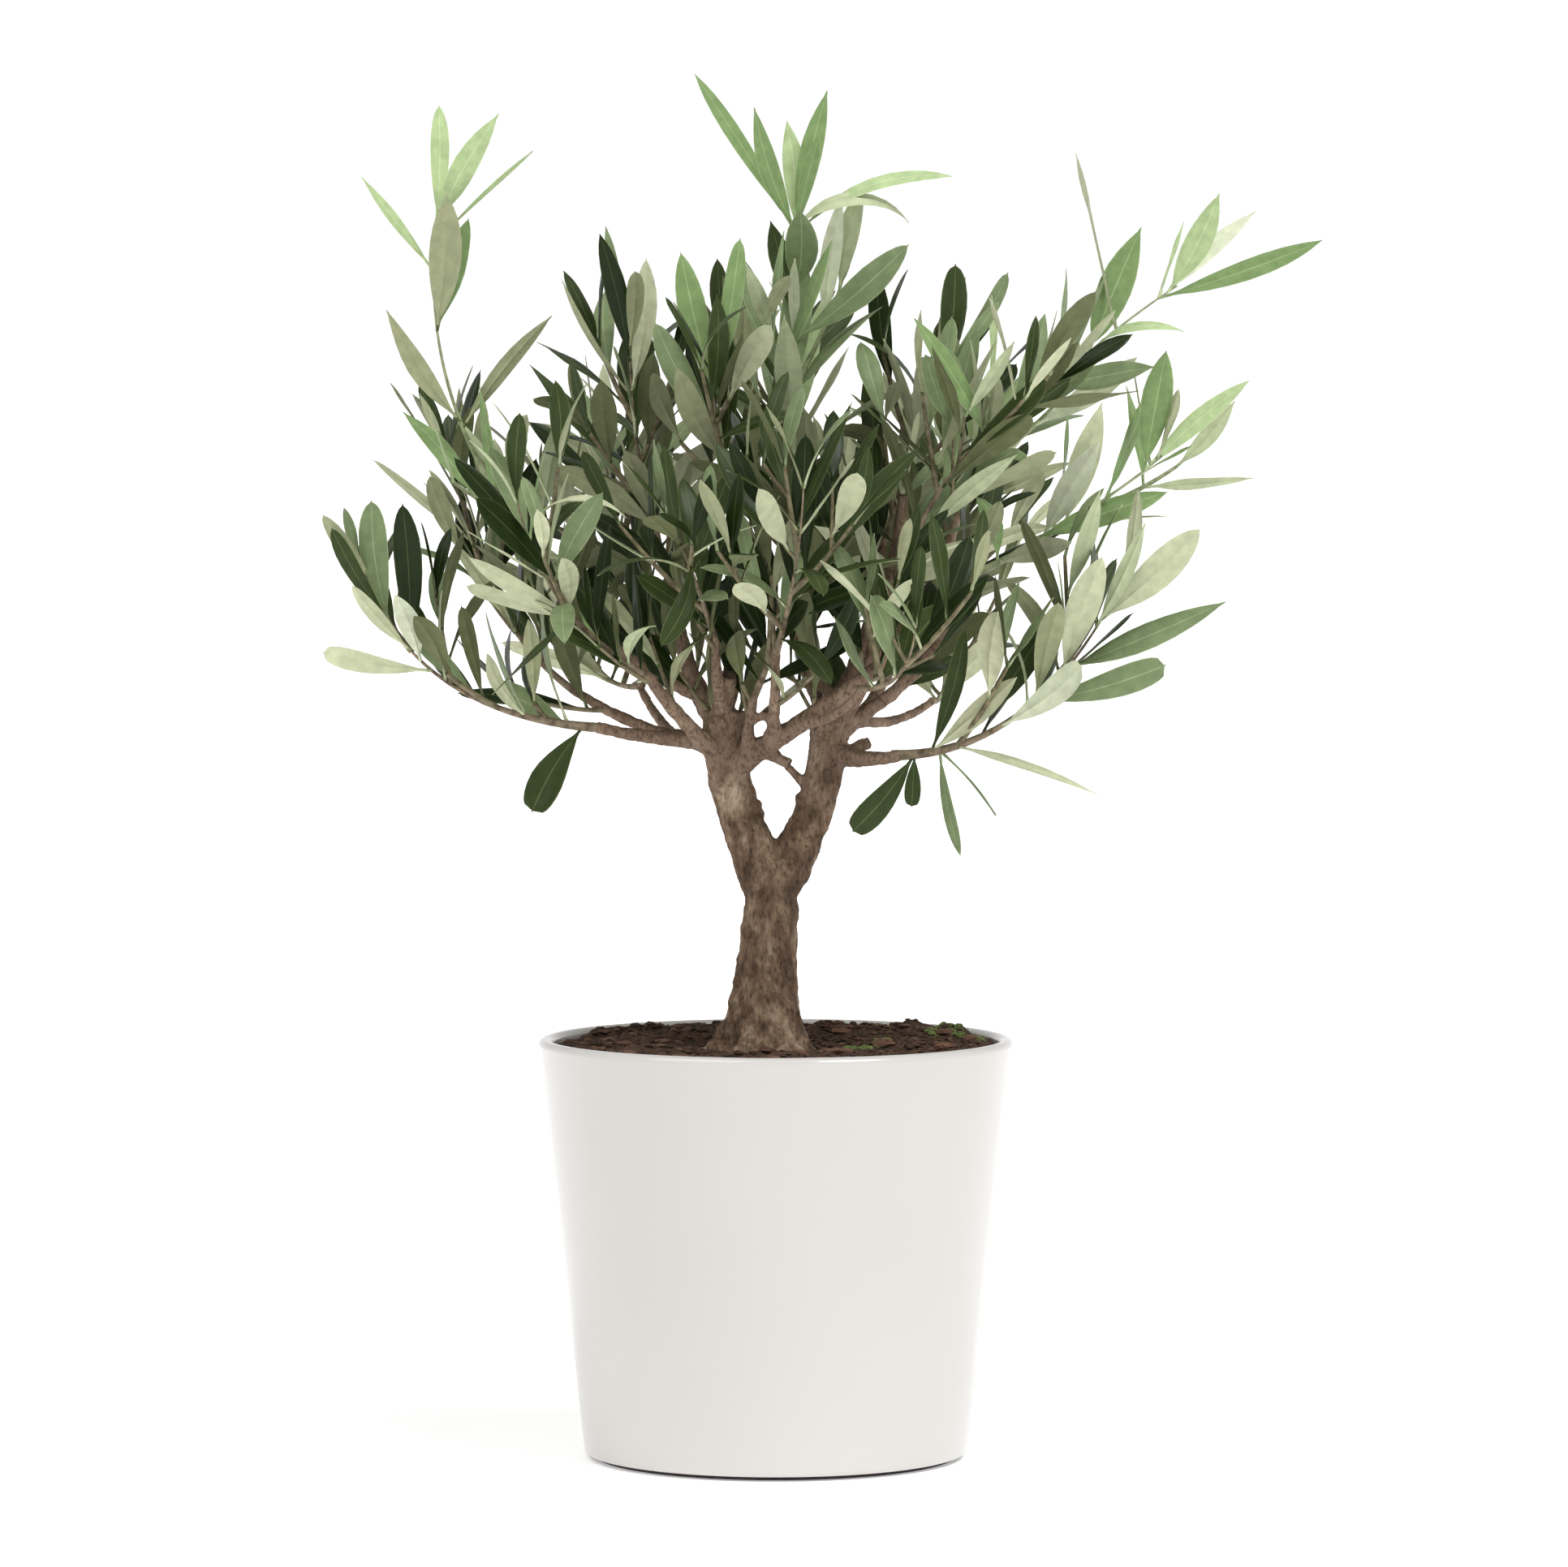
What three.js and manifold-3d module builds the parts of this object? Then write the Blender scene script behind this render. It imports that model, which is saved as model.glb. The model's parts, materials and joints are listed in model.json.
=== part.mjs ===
// A young olive tree in a glazed pot: one short trunk that forks into two stems, boughs that spread from
// both, and a wide airy crown of long grey-green leaves set in opposite pairs.
// Millimetres, +Z up. The origin is the centre of the pot's flat underside, and -Y is the front.
import * as THREE from "three";
import { mergeVertices } from "three/addons/utils/BufferGeometryUtils.js";
import Module from "manifold-3d";

const wasm = await Module();
wasm.setup();
const { Manifold, Mesh } = wasm;

// Driving dimensions
const GAP = 0.3; // clearance between solids that touch on the real plant
const MERGE = 1e-3; // points closer than this are one point
const POT = {
  height: 155.5,
  rimRadius: 88.2,
  shoulderRadius: 71.3, // where the straight wall would meet the ground
  footRadius: 67.5, // the pot stands on a slightly smaller foot
  footHeight: 1.4,
  wall: 5.6,
  floor: 8,
  cove: 4, // slope between the wall and the floor inside
  lipRadius: 2.6,
  cornerRadius: 2,
  sides: 36,
};
const SOIL = {
  drop: 4.5, // mean level below the rim
  lump: 2.4,
  waves: [[0.19, 0.16, 1.3], [0.19, -0.16, 1.3], [-0.13, 0.27, 0.7]], // across, away, and phase of each
  seatRadius: 31, // level ground round the trunk
  fade: 12,
  rings: 4,
};
const TRUNK = {
  foot: [-4, 0],
  top: [0, 0, 221],
  bow: [-1, 0, 0], // it leaves the soil upright
  footRadius: 12.4,
  topRadius: 9,
  flare: 7.5,
  flareHeight: 9,
  ribs: [[3, 0.3, 0.8], [5, 0.15, 0]], // how many run down the flare, how deep, and where they start
  sides: 14,
  steps: 9,
};
const LIMB = { stepLength: 16, leastSteps: 3, sides: 6, thick: 4, thickSides: 9 };
const LEAF = {
  slim: 0.25, // full width as a share of the length
  keel: 0.02, // depth below the blade as a share of the length
  heel: 0.1, // shares of the length where the keel is deepest and where the blade is broad
  low: 0.34,
  high: 0.7,
  highShare: 0.8, // its width at `high` as a share of its full width
  sizes: [0.78, 1.08], // smallest and largest, as shares of a full leaf
  curls: [-0.02, 0.16], // how far the tip droops, as shares of the length
  roll: 0.5, // how much it may turn about its own length
};
const TWIG = {
  sides: 3,
  leaderSteps: 4,
  radius: [1.4, 0.9],
  bare: 0.15, // share of a side twig with no leaves
  reach: [1.1, 0.75], // its length at the shoot's foot and at its tip, as shares of the mass's reach
  sizes: [0.85, 1.15],
  divergence: 44, // degrees between a side twig and its leading shoot
  wander: 10, // degrees
  goldenAngle: 2.4,
  turn: 0.4, // how far a side twig may stray from its turn of the golden angle
  internode: 18, // between one pair of leaves and the next
  lift: 1.6, // how much more side twigs turn up than leaves do
};
const OUTER = { steps: 60, first: 3, last: 58, lean: 0.4, roll: 0.3 }; // leaves that reach the outline
const PAIRS = {
  foot: 0.2, // where the first pair stands, and how far short of the tip the last, in internodes
  short: 0.1,
  turn: 0.25, // how far a pair may stray from a quarter turn
  wander: 9, // degrees
  spread: [1.5, 0.6], // at the shoot's foot and at its tip, as shares of the mass's spread
  tipSize: 0.7, // size of the last leaves
  outlook: 0.35, // how much the upper sides look up rather than along the shoot
};

// Woody limbs, each one taper: its name, its parent, the share of the parent's length where it leaves, its
// far end, how far its middle bows off the straight line, and its radius at each end.
const LIMBS = [
  ["left_stem", "trunk", 0.86, [-19, -1, 277], [-5, 0, 0], [7, 8.2]],
  ["right_stem", "trunk", 0.86, [20, 4, 277], [5.5, 0, -1], [6.4, 7.2]],
  ["cross_bough", "left_stem", 0.7, [42, -27, 298], [0, -8, -2], [4.4, 2.5]],
  ["left_low_bough", "left_stem", 0.84, [-66, -7, 271], [0, -1, -1.5], [3.2, 2.1]],
  ["left_back_bough", "left_stem", 0.8, [-77, 32, 284], [0, 2, -4], [2.9, 1.7]],
  ["left_front_bough", "left_stem", 0.72, [-47, -26, 291], [-1, -3, -1], [3.5, 2.1]],
  ["left_tuft_bough", "left_stem", 0.9, [-38, 10, 322], [-3, 2, -4], [3.6, 2]],
  ["left_outer_bough", "left_tuft_bough", 0.3, [-80, 20, 326], [-5, 2, -6], [2.8, 1.8]],
  ["front_left_bough", "left_stem", 0.96, [-22, -27, 304], [-1, -4, 0], [2.7, 1.7]],
  ["back_left_bough", "left_stem", 0.88, [-38, 52, 308], [-2, 4, -5], [3.2, 1.8]],
  ["back_low_left_bough", "left_back_bough", 0.3, [-52, 68, 284], [0, 4, -3], [2.3, 1.5]],
  ["front_bough", "cross_bough", 0.3, [0, -45, 300], [0, -4, -3], [2.7, 1.7]],
  ["inner_front_bough", "cross_bough", 0.14, [-8, -19, 283], [-1, -2, -1], [2.4, 1.7]],
  ["front_low_bough", "cross_bough", 0.5, [32, -56, 288], [0, -3, -4], [2.3, 1.5]],
  ["centre_bough", "right_stem", 0.96, [5, 8, 352], [-2, 3, -3], [3.7, 2]],
  ["inner_left_bough", "centre_bough", 0.35, [-12, -8, 346], [-4, -2, -3], [2.4, 1.6]],
  ["pruned_bough", "right_stem", 0.92, [36, -9, 302], [3, -2, -2], [2.9, 2.3]],
  ["centre_right_bough", "right_stem", 0.97, [40, 15, 338], [3, 2, -3], [3.2, 1.9]],
  ["right_upper_bough", "centre_right_bough", 0.3, [68, 24, 350], [5, 2, -6], [2.8, 1.8]],
  ["right_mid_bough", "right_stem", 0.88, [73, 6, 328], [6, 0, -6], [2.8, 1.7]],
  ["right_low_bough", "right_stem", 0.78, [46, -10, 261], [-1, -1, -2], [3.4, 2.2]],
  ["back_right_bough", "right_stem", 0.84, [48, 54, 304], [2, 4, -6], [3.2, 1.8]],
  ["back_low_right_bough", "back_right_bough", 0.32, [60, 72, 278], [0, 4, -4], [2.2, 1.5]],
  ["back_centre_bough", "right_stem", 0.96, [6, 50, 308], [-1, 5, -3], [3, 1.8]],
  ["dry_twig", "right_stem", 0.55, [-3, 0, 266], [0, 0, -2], [1.8, 1.2]],
];

// Masses of foliage, one on each bough's end. `tip` is the end of the leading shoot, `bow` its bend, `bare`
// the share of it with no leaves, `twigs` how many side twigs leave it and `twigZone` between which shares,
// `reach` their length, `room` how far a leaf tip may stand off it, `leaf` a full leaf's length, `spread`
// the angle between a leaf and its twig, `lift` how much twigs and leaves turn up, and `outer` the furthest
// tips, which leaves of their own reach. A fourth number there turns that leaf edge on to the front.
const USUAL = {
  bare: 0.07, twigs: 3, twigZone: [0.1, 0.8], reach: 42, room: 52,
  leaf: 50, spread: 34, lift: 0.25, outer: [],
};
const MASSES = [
  {
    name: "upper_left_sprig", bough: "left_outer_bough", tip: [-125, 12, 462], bow: [-17, 0, -4],
    bare: 0.7, twigs: 3, twigZone: [0, 0.36], room: 30, leaf: 52, spread: 24, seed: 11,
    outer: [[-144, 6, 425], [-125, 20, 501], [-102, -2, 497], [-150, 4, 475, 2], [-92, 18, 484, 3]],
  },
  {
    name: "crown_top_foliage", bough: "centre_bough", tip: [7, 2, 458], bow: [1, 0, 0],
    room: 56, leaf: 56, spread: 30, seed: 12,
    outer: [[-8, -14, 499], [19, 8, 506], [-30, 6, 512, 1], [65, -2, 474, 1.5], [49, 8, 458]],
  },
  {
    name: "upper_right_foliage", bough: "right_upper_bough", tip: [149, 20, 434], bow: [-6, 0, 4],
    bare: 0.4, twigs: 2, twigZone: [0.03, 0.3], leaf: 56, spread: 30, seed: 13,
    outer: [
      [203, 20, 451, 1], [164, 8, 468], [179, 32, 462, 1.5], [136, 26, 456], [111, 10, 483, 3],
      [151, 10, 418],
    ],
  },
  {
    name: "right_mid_foliage", bough: "right_mid_bough", tip: [143, 4, 371], bow: [0, 0, -3],
    twigs: 2, room: 46, spread: 36, seed: 14,
    outer: [[144, -2, 410], [132, 10, 406], [175, 4, 399]],
  },
  {
    name: "right_low_foliage", bough: "right_low_bough", tip: [128, -30, 328], bow: [5, 0, -16],
    twigs: 3, leaf: 54, seed: 34, lift: 0.6,
    outer: [
      [143, -30, 295], [165, -26, 318], [155, -36, 345], [28, -20, 233], [48, -2, 243],
      [119, -40, 335], [111, -24, 268, 2], [80, -20, 242, 3], [67, -14, 226, 2],
    ],
  },
  {
    name: "left_low_foliage", bough: "left_low_bough", tip: [-151, -16, 328], bow: [-12, 0, -12],
    twigs: 4, reach: 40, room: 44, leaf: 44, seed: 16, lift: 0.6,
    outer: [
      [-167, -14, 299], [-137, -20, 354], [-162, -22, 345], [-90, -14, 241], [-149, -10, 355],
      [-155, -30, 324],
    ],
  },
  {
    name: "left_front_foliage", bough: "left_front_bough", tip: [-94, -54, 356], bow: [-7, 0, -6],
    spread: 38, seed: 17, outer: [[-111, -62, 335], [-117, -46, 371]],
  },
  {
    name: "left_back_foliage", bough: "left_back_bough", tip: [-118, 50, 356], bow: [-6, 0, -6],
    twigs: 4, spread: 36, seed: 18, lift: 0.6,
  },
  {
    name: "left_tuft_foliage", bough: "left_tuft_bough", tip: [-54, 4, 412], bow: [-4, 0, 0],
    twigs: 4, spread: 28, seed: 19, outer: [[-79, 8, 436], [-65, 0, 453], [-48, 10, 445]],
  },
  {
    name: "inner_left_foliage", bough: "inner_left_bough", tip: [-24, -22, 404], bow: [-2, 0, 0],
    leaf: 54, spread: 32, seed: 20, outer: [[-12, -24, 452]],
  },
  {
    name: "front_left_foliage", bough: "front_left_bough", tip: [-40, -84, 352], bow: [0, -6, 4],
    twigs: 2, leaf: 46, spread: 36, seed: 21,
  },
  {
    name: "front_foliage", bough: "front_bough", tip: [10, -90, 362], bow: [2, -8, 0],
    spread: 36, seed: 22,
  },
  {
    name: "inner_front_foliage", bough: "inner_front_bough", tip: [9, -28, 358], bow: [3, -3, -3],
    bare: 0.03, twigs: 4, reach: 36, leaf: 48, spread: 40, seed: 32,
  },
  {
    name: "front_low_foliage", bough: "front_low_bough", tip: [50, -100, 312], bow: [4, 0, -6],
    twigs: 2, leaf: 46, spread: 42, seed: 23, lift: 0.6,
  },
  {
    name: "cross_foliage", bough: "cross_bough", tip: [102, -46, 398], bow: [-13, 0, 9],
    twigs: 4, leaf: 52, seed: 24,
  },
  {
    name: "pruned_shoot_foliage", bough: "pruned_bough", tip: [47, -18, 357], bow: [1, 0, 0],
    bare: 0.3, twigs: 1, reach: 30, leaf: 40, spread: 56, seed: 25, stemRadius: 2.1,
  },
  {
    name: "centre_right_foliage", bough: "centre_right_bough", tip: [60, 6, 402], bow: [0, 0, 0],
    twigs: 4, spread: 30, seed: 26, outer: [[70, 2, 437], [86, 10, 439]],
  },
  {
    name: "back_left_foliage", bough: "back_left_bough", tip: [-66, 108, 372], bow: [-4, 4, -6],
    twigs: 4, seed: 27,
  },
  {
    name: "back_low_left_foliage", bough: "back_low_left_bough", tip: [-76, 120, 306], bow: [-2, 4, -8],
    twigs: 2, leaf: 46, seed: 28, lift: 0.6,
  },
  {
    name: "back_right_foliage", bough: "back_right_bough", tip: [68, 100, 366], bow: [4, 4, -6],
    twigs: 4, seed: 29,
  },
  {
    name: "back_low_right_foliage", bough: "back_low_right_bough", tip: [66, 124, 304], bow: [2, 4, -8],
    twigs: 2, leaf: 46, seed: 30, lift: 0.6,
  },
  {
    name: "back_centre_foliage", bough: "back_centre_bough", tip: [8, 88, 410], bow: [0, 8, -6],
    twigs: 4, leaf: 52, seed: 31,
  },
];

const LOOKS = {
  pot: { color: 0xe9e5e1, roughness: 0.18 },
  soil: { color: 0x4a362b, roughness: 0.95 },
  bark: { color: 0x84705e, roughness: 0.85 },
  foliage: { color: 0x6b7a55, roughness: 0.55 },
};

const UP = new THREE.Vector3(0, 0, 1);
const FRONT = new THREE.Vector3(0, -1, 0);
const point = (xyz) => new THREE.Vector3(...xyz);
const { degToRad, lerp, smoothstep } = THREE.MathUtils;

// Seeded numbers, the same on every machine.
class Dice {
  constructor(seed) {
    this.state = Math.imul(seed, 2654435761) >>> 0;
    this.roll();
    this.roll();
  }
  roll() {
    this.state = (Math.imul(this.state, 1664525) + 1013904223) >>> 0;
    return this.state / 4294967296;
  }
  between(low, high) {
    return lerp(low, high, this.roll());
  }
}

// A mesh geometry from its points and the triangles between them.
function meshGeometry(points, triangles) {
  const geometry = new THREE.BufferGeometry().setFromPoints(points);
  geometry.setIndex(triangles);
  return geometry;
}

function solidOf(geometry) {
  const vertProperties = new Float32Array(geometry.getAttribute("position").array);
  const triVerts = new Uint32Array(geometry.index.array);
  return new Manifold(new Mesh({ numProp: 3, vertProperties, triVerts }));
}

function geometryOf(solid) {
  const mesh = solid.getMesh();
  const geometry = new THREE.BufferGeometry();
  geometry.setAttribute("position", new THREE.BufferAttribute(mesh.vertProperties, mesh.numProp));
  geometry.setIndex(new THREE.BufferAttribute(mesh.triVerts, 1));
  return geometry;
}

// The largest body of a solid that a cut has left in several.
function largestBody(solid) {
  return solid.decompose().sort((a, b) => b.volume() - a.volume())[0];
}

// Several solids joined. A piece that hangs on by less than a merged point is dropped.
function joinedGeometry(solids) {
  const merged = mergeVertices(geometryOf(Manifold.union(solids)), MERGE);
  return geometryOf(largestBody(solidOf(merged)));
}

function boxesMeet(a, b) {
  return [0, 1, 2].every((k) => a.min[k] < b.max[k] && b.min[k] < a.max[k]);
}

// A curve from start to end whose middle stands off the straight line by bow.
function bowedCurve(start, end, bow) {
  const control = start.clone().add(end).multiplyScalar(0.5).addScaledVector(point(bow), 2);
  return new THREE.QuadraticBezierCurve3(start, control, end);
}

// A closed round tube along a curve. radiusAt gives its radius at a share of the length and an angle round.
function tubeSolid(curve, radiusAt, sides, steps) {
  const frames = curve.computeFrenetFrames(steps, false);
  const points = [];
  const triangles = [];
  for (let i = 0; i <= steps; i++) {
    const centre = curve.getPointAt(i / steps);
    for (let j = 0; j < sides; j++) {
      const angle = (j / sides) * 2 * Math.PI;
      const radius = radiusAt(i / steps, angle);
      const place = centre.clone().addScaledVector(frames.normals[i], radius * Math.cos(angle));
      points.push(place.addScaledVector(frames.binormals[i], radius * Math.sin(angle)));
      const a = i * sides + j;
      const b = i * sides + ((j + 1) % sides);
      if (i < steps) triangles.push(a, b, a + sides, b, b + sides, a + sides);
    }
  }
  const last = steps * sides;
  for (let j = 1; j + 1 < sides; j++) {
    triangles.push(0, j + 1, j, last, last + j, last + j + 1);
  }
  return solidOf(meshGeometry(points, triangles));
}

// A lathe turned about Z, with its seam closed.
function turned(profile, sides) {
  const geometry = new THREE.LatheGeometry(profile, sides);
  geometry.deleteAttribute("normal");
  geometry.deleteAttribute("uv");
  geometry.rotateX(Math.PI / 2);
  return mergeVertices(geometry, MERGE);
}

// Points of an arc in the lathe's half plane: x is the distance from the axis, y the height.
function arc(x, y, radius, fromDegrees, toDegrees, steps) {
  const path = new THREE.Path();
  path.absarc(x, y, radius, degToRad(fromDegrees), degToRad(toDegrees), toDegrees < fromDegrees);
  return path.getPoints(steps);
}

// The pot is a straight cone with a rounded lip. Its hollow keeps the wall's thickness.
function innerRadius(height) {
  return lerp(POT.shoulderRadius, POT.rimRadius, height / POT.height) - POT.wall;
}

const hollow = { floorRadius: innerRadius(POT.floor) - POT.cove, corner: POT.floor + POT.cove };

function potGeometry() {
  const { rimRadius, shoulderRadius, footRadius, footHeight, lipRadius, cornerRadius, wall, floor } = POT;
  const lipHeight = POT.height - lipRadius;
  const profile = [
    new THREE.Vector2(0, 0),
    new THREE.Vector2(footRadius, 0),
    new THREE.Vector2(footRadius, footHeight),
    ...arc(shoulderRadius - cornerRadius, footHeight + cornerRadius, cornerRadius, -90, 0, 1),
    ...arc(rimRadius - lipRadius, lipHeight, lipRadius, 0, 90, 1),
    ...arc(rimRadius - wall + lipRadius, lipHeight, lipRadius, 90, 180, 1),
    new THREE.Vector2(innerRadius(hollow.corner), hollow.corner),
    new THREE.Vector2(hollow.floorRadius, floor),
    new THREE.Vector2(0, floor),
  ];
  return turned(profile, POT.sides);
}

const soilLevel = POT.height - SOIL.drop;

// How far the soil's surface stands above its mean level. It is level round the trunk.
function lumps(x, y) {
  const fade = smoothstep(Math.hypot(x, y), SOIL.seatRadius, SOIL.seatRadius + SOIL.fade);
  const waves = SOIL.waves.map(([across, back, phase]) => Math.sin(x * across + y * back + phase));
  return (SOIL.lump * fade * waves.reduce((sum, wave) => sum + wave)) / waves.length;
}

function soilGeometry() {
  const bottom = POT.floor + GAP;
  const edge = soilLevel - SOIL.lump;
  const outer = innerRadius(edge) - GAP;
  const profile = [
    new THREE.Vector2(0, bottom),
    new THREE.Vector2(hollow.floorRadius - GAP, bottom),
    new THREE.Vector2(innerRadius(hollow.corner) - GAP, hollow.corner + GAP),
    new THREE.Vector2(outer, edge),
  ];
  for (let ring = SOIL.rings - 1; ring >= 0; ring--) {
    profile.push(new THREE.Vector2(lerp(SOIL.seatRadius, outer, ring / SOIL.rings), soilLevel));
  }
  profile.push(new THREE.Vector2(0, soilLevel));
  const geometry = turned(profile, POT.sides);
  const position = geometry.getAttribute("position");
  for (let i = 0; i < position.count; i++) {
    if (position.getZ(i) > edge + GAP) {
      position.setZ(i, soilLevel + lumps(position.getX(i), position.getY(i)));
    }
  }
  return geometry;
}

// Every woody limb: its curve, its radius, its solid, and a swollen copy that others stay clear of.
const limbs = new Map();

function addLimb(name, curve, radiusAt, sides, steps) {
  let solid = tubeSolid(curve, radiusAt, sides, steps);
  for (const other of limbs.values()) {
    solid = solid.subtract(other.swollen);
  }
  const swollen = tubeSolid(curve, (share, angle) => radiusAt(share, angle) + GAP, sides, steps);
  limbs.set(name, { name, curve, radiusAt, solid: largestBody(solid), swollen });
}

function growTrunk() {
  const foot = new THREE.Vector3(...TRUNK.foot, soilLevel + GAP);
  const curve = bowedCurve(foot, point(TRUNK.top), TRUNK.bow);
  const length = curve.getLength();
  const radiusAt = (share, angle) => {
    const taper = lerp(TRUNK.footRadius, TRUNK.topRadius, share);
    const flare = TRUNK.flare * Math.exp((-share * length) / TRUNK.flareHeight);
    const ribs = TRUNK.ribs.map(([count, depth, start]) => depth * Math.sin(count * angle + start));
    return taper + flare * ribs.reduce((sum, rib) => sum + rib, 1);
  };
  addLimb("trunk", curve, radiusAt, TRUNK.sides, TRUNK.steps);
}

function growLimb([name, parent, at, end, bow, radius]) {
  const curve = bowedCurve(limbs.get(parent).curve.getPointAt(at), point(end), bow);
  const steps = Math.max(LIMB.leastSteps, Math.round(curve.getLength() / LIMB.stepLength));
  const sides = radius[0] > LIMB.thick ? LIMB.thickSides : LIMB.sides;
  addLimb(name, curve, (share) => lerp(radius[0], radius[1], share), sides, steps);
}

// A leaf is a flat blade with a keel below, from a point sunk in the twig's middle to a pointed tip. extra
// swells it, to test that it stands clear, and from leaves out the share that the twig hides.
function leafSolid({ root, along, face, length, curl }, extra = 0, from = 0) {
  const side = new THREE.Vector3().crossVectors(along, face);
  const at = (share, across, above) =>
    root
      .clone()
      .addScaledVector(along, length * share)
      .addScaledVector(side, across)
      .addScaledVector(face, above - curl * length * share * share);
  const half = (LEAF.slim * length) / 2 + extra;
  const points = [
    at(from, 0, 0),
    at(Math.max(from, LEAF.heel), 0, -LEAF.keel * length - extra),
    at(LEAF.low, half, extra),
    at(LEAF.low, -half, extra),
    at(LEAF.high, half * LEAF.highShare, extra),
    at(LEAF.high, -half * LEAF.highShare, extra),
    at(1, 0, 0),
  ];
  const triangles = [
    [0, 2, 3], [3, 2, 5], [5, 2, 4], [5, 4, 6],
    [0, 1, 2], [2, 1, 4], [4, 1, 6], [0, 3, 1], [3, 5, 1], [5, 6, 1],
  ];
  return solidOf(meshGeometry(points, triangles.flat()));
}

// Unit vector square to `along`, turned round it by an angle.
function sideways(along, angle) {
  const reference = Math.abs(along.z) > 0.95 ? new THREE.Vector3(1, 0, 0) : UP;
  const u = new THREE.Vector3().crossVectors(along, reference).normalize();
  const v = new THREE.Vector3().crossVectors(along, u);
  return u.multiplyScalar(Math.cos(angle)).addScaledVector(v, Math.sin(angle));
}

// The upper side of a leaf looks towards `outlook`, then rolls a little about the leaf.
function leafFace(outlook, way, roll) {
  const face = outlook.clone().addScaledVector(new THREE.Vector3().crossVectors(way, outlook), roll);
  return face.addScaledVector(way, -face.dot(way)).normalize();
}

// Opposite pairs of leaves up a shoot, each pair a quarter turn on from the last. They grow smaller and
// stand closer to the shoot towards its tip.
function leavesOn({ curve, bare }, mass, dice) {
  const leaves = [];
  const pairs = Math.max(2, Math.round((curve.getLength() * (1 - bare)) / TWIG.internode));
  let turn = dice.between(0, Math.PI);
  for (let i = 0; i <= pairs; i++) {
    const share = bare + ((1 - bare) * (i + PAIRS.foot)) / (pairs + PAIRS.foot + PAIRS.short);
    const along = curve.getTangentAt(share);
    const root = curve.getPointAt(share);
    const nearTip = Math.pow(i / pairs, 2);
    turn += Math.PI / 2 + dice.between(-PAIRS.turn, PAIRS.turn);
    for (const opposite of [0, Math.PI]) {
      const wander = dice.between(-PAIRS.wander, PAIRS.wander);
      const spread = degToRad(mass.spread * lerp(...PAIRS.spread, nearTip) + wander);
      const way = along.clone().multiplyScalar(Math.cos(spread));
      way.addScaledVector(sideways(along, turn + opposite), Math.sin(spread));
      way.addScaledVector(UP, mass.lift).normalize();
      const length = mass.leaf * lerp(1, PAIRS.tipSize, nearTip) * dice.between(...LEAF.sizes);
      const outlook = along.clone().addScaledVector(UP, PAIRS.outlook);
      const face = leafFace(outlook, way, dice.between(-LEAF.roll, LEAF.roll));
      leaves.push({ root, along: way, face, length, curl: dice.between(...LEAF.curls) });
    }
  }
  return leaves;
}

// A leaf whose tip is given. It grows from the lowest point of the shoot that lies one leaf's length away,
// and looks towards the front unless a roll turns it.
function leafTo([x, y, z, roll = 0], mass, dice) {
  const target = new THREE.Vector3(x, y, z);
  let share = 0;
  let nearest = Infinity;
  for (let i = OUTER.first; i <= OUTER.last; i++) {
    const away = mass.leader.getPointAt(i / OUTER.steps).distanceTo(target);
    if (away < nearest && nearest > mass.leaf) {
      nearest = away;
      share = i / OUTER.steps;
    }
  }
  const root = mass.leader.getPointAt(share);
  const along = target.clone().sub(root).normalize();
  const outlook = mass.leader.getTangentAt(share).multiplyScalar(OUTER.lean).add(FRONT);
  const face = leafFace(outlook, along, roll + dice.between(-OUTER.roll, OUTER.roll));
  return { root, along, face, length: root.distanceTo(target), curl: 0 };
}

// The leading shoot of a mass and the side twigs that leave it by turns of the golden angle.
function shootsOf(mass, thickness, dice) {
  const sides = mass.stemRadius ? LIMB.sides : TWIG.sides;
  const shoots = [{ curve: mass.leader, radius: thickness, sides, bare: mass.bare }];
  for (let i = 0; i < mass.twigs; i++) {
    const share = lerp(...mass.twigZone, (i + 0.4) / mass.twigs);
    const along = mass.leader.getTangentAt(share);
    const spread = degToRad(TWIG.divergence + dice.between(-TWIG.wander, TWIG.wander));
    const angle = i * TWIG.goldenAngle + dice.between(-TWIG.turn, TWIG.turn);
    const heading = along.clone().multiplyScalar(Math.cos(spread));
    heading.addScaledVector(sideways(along, angle), Math.sin(spread));
    heading.addScaledVector(UP, TWIG.lift * mass.lift).normalize();
    const length = mass.reach * lerp(...TWIG.reach, share) * dice.between(...TWIG.sizes);
    const root = mass.leader.getPointAt(share);
    const end = root.clone().addScaledVector(heading, length);
    const curve = new THREE.LineCurve3(root, end);
    shoots.push({ curve, radius: TWIG.radius, sides: TWIG.sides, bare: TWIG.bare });
  }
  return shoots;
}

// A leading shoot starts inside its bough's end, as far as its first ring leans over. What the bough's end
// takes up is cut away later.
function leaderOf(mass, bough) {
  const end = bough.curve.getPointAt(1);
  const heading = bough.curve.getTangentAt(1);
  const straight = bowedCurve(end, point(mass.tip), mass.bow);
  const lean = Math.sin(straight.getTangentAt(0).angleTo(heading));
  const start = end.clone().addScaledVector(heading, -lean * bough.radiusAt(1));
  return bowedCurve(start, point(mass.tip), mass.bow);
}

// The space that a bough's end takes up, with a gap beyond it.
function boughEnd(bough) {
  const end = bough.curve.getPointAt(1);
  const heading = bough.curve.getTangentAt(1);
  const radius = 2 * bough.radiusAt(1);
  const within = end.clone().addScaledVector(heading, -radius);
  const axis = new THREE.LineCurve3(within, end.clone().addScaledVector(heading, GAP));
  return tubeSolid(axis, () => radius, LIMB.sides, 1);
}

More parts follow.
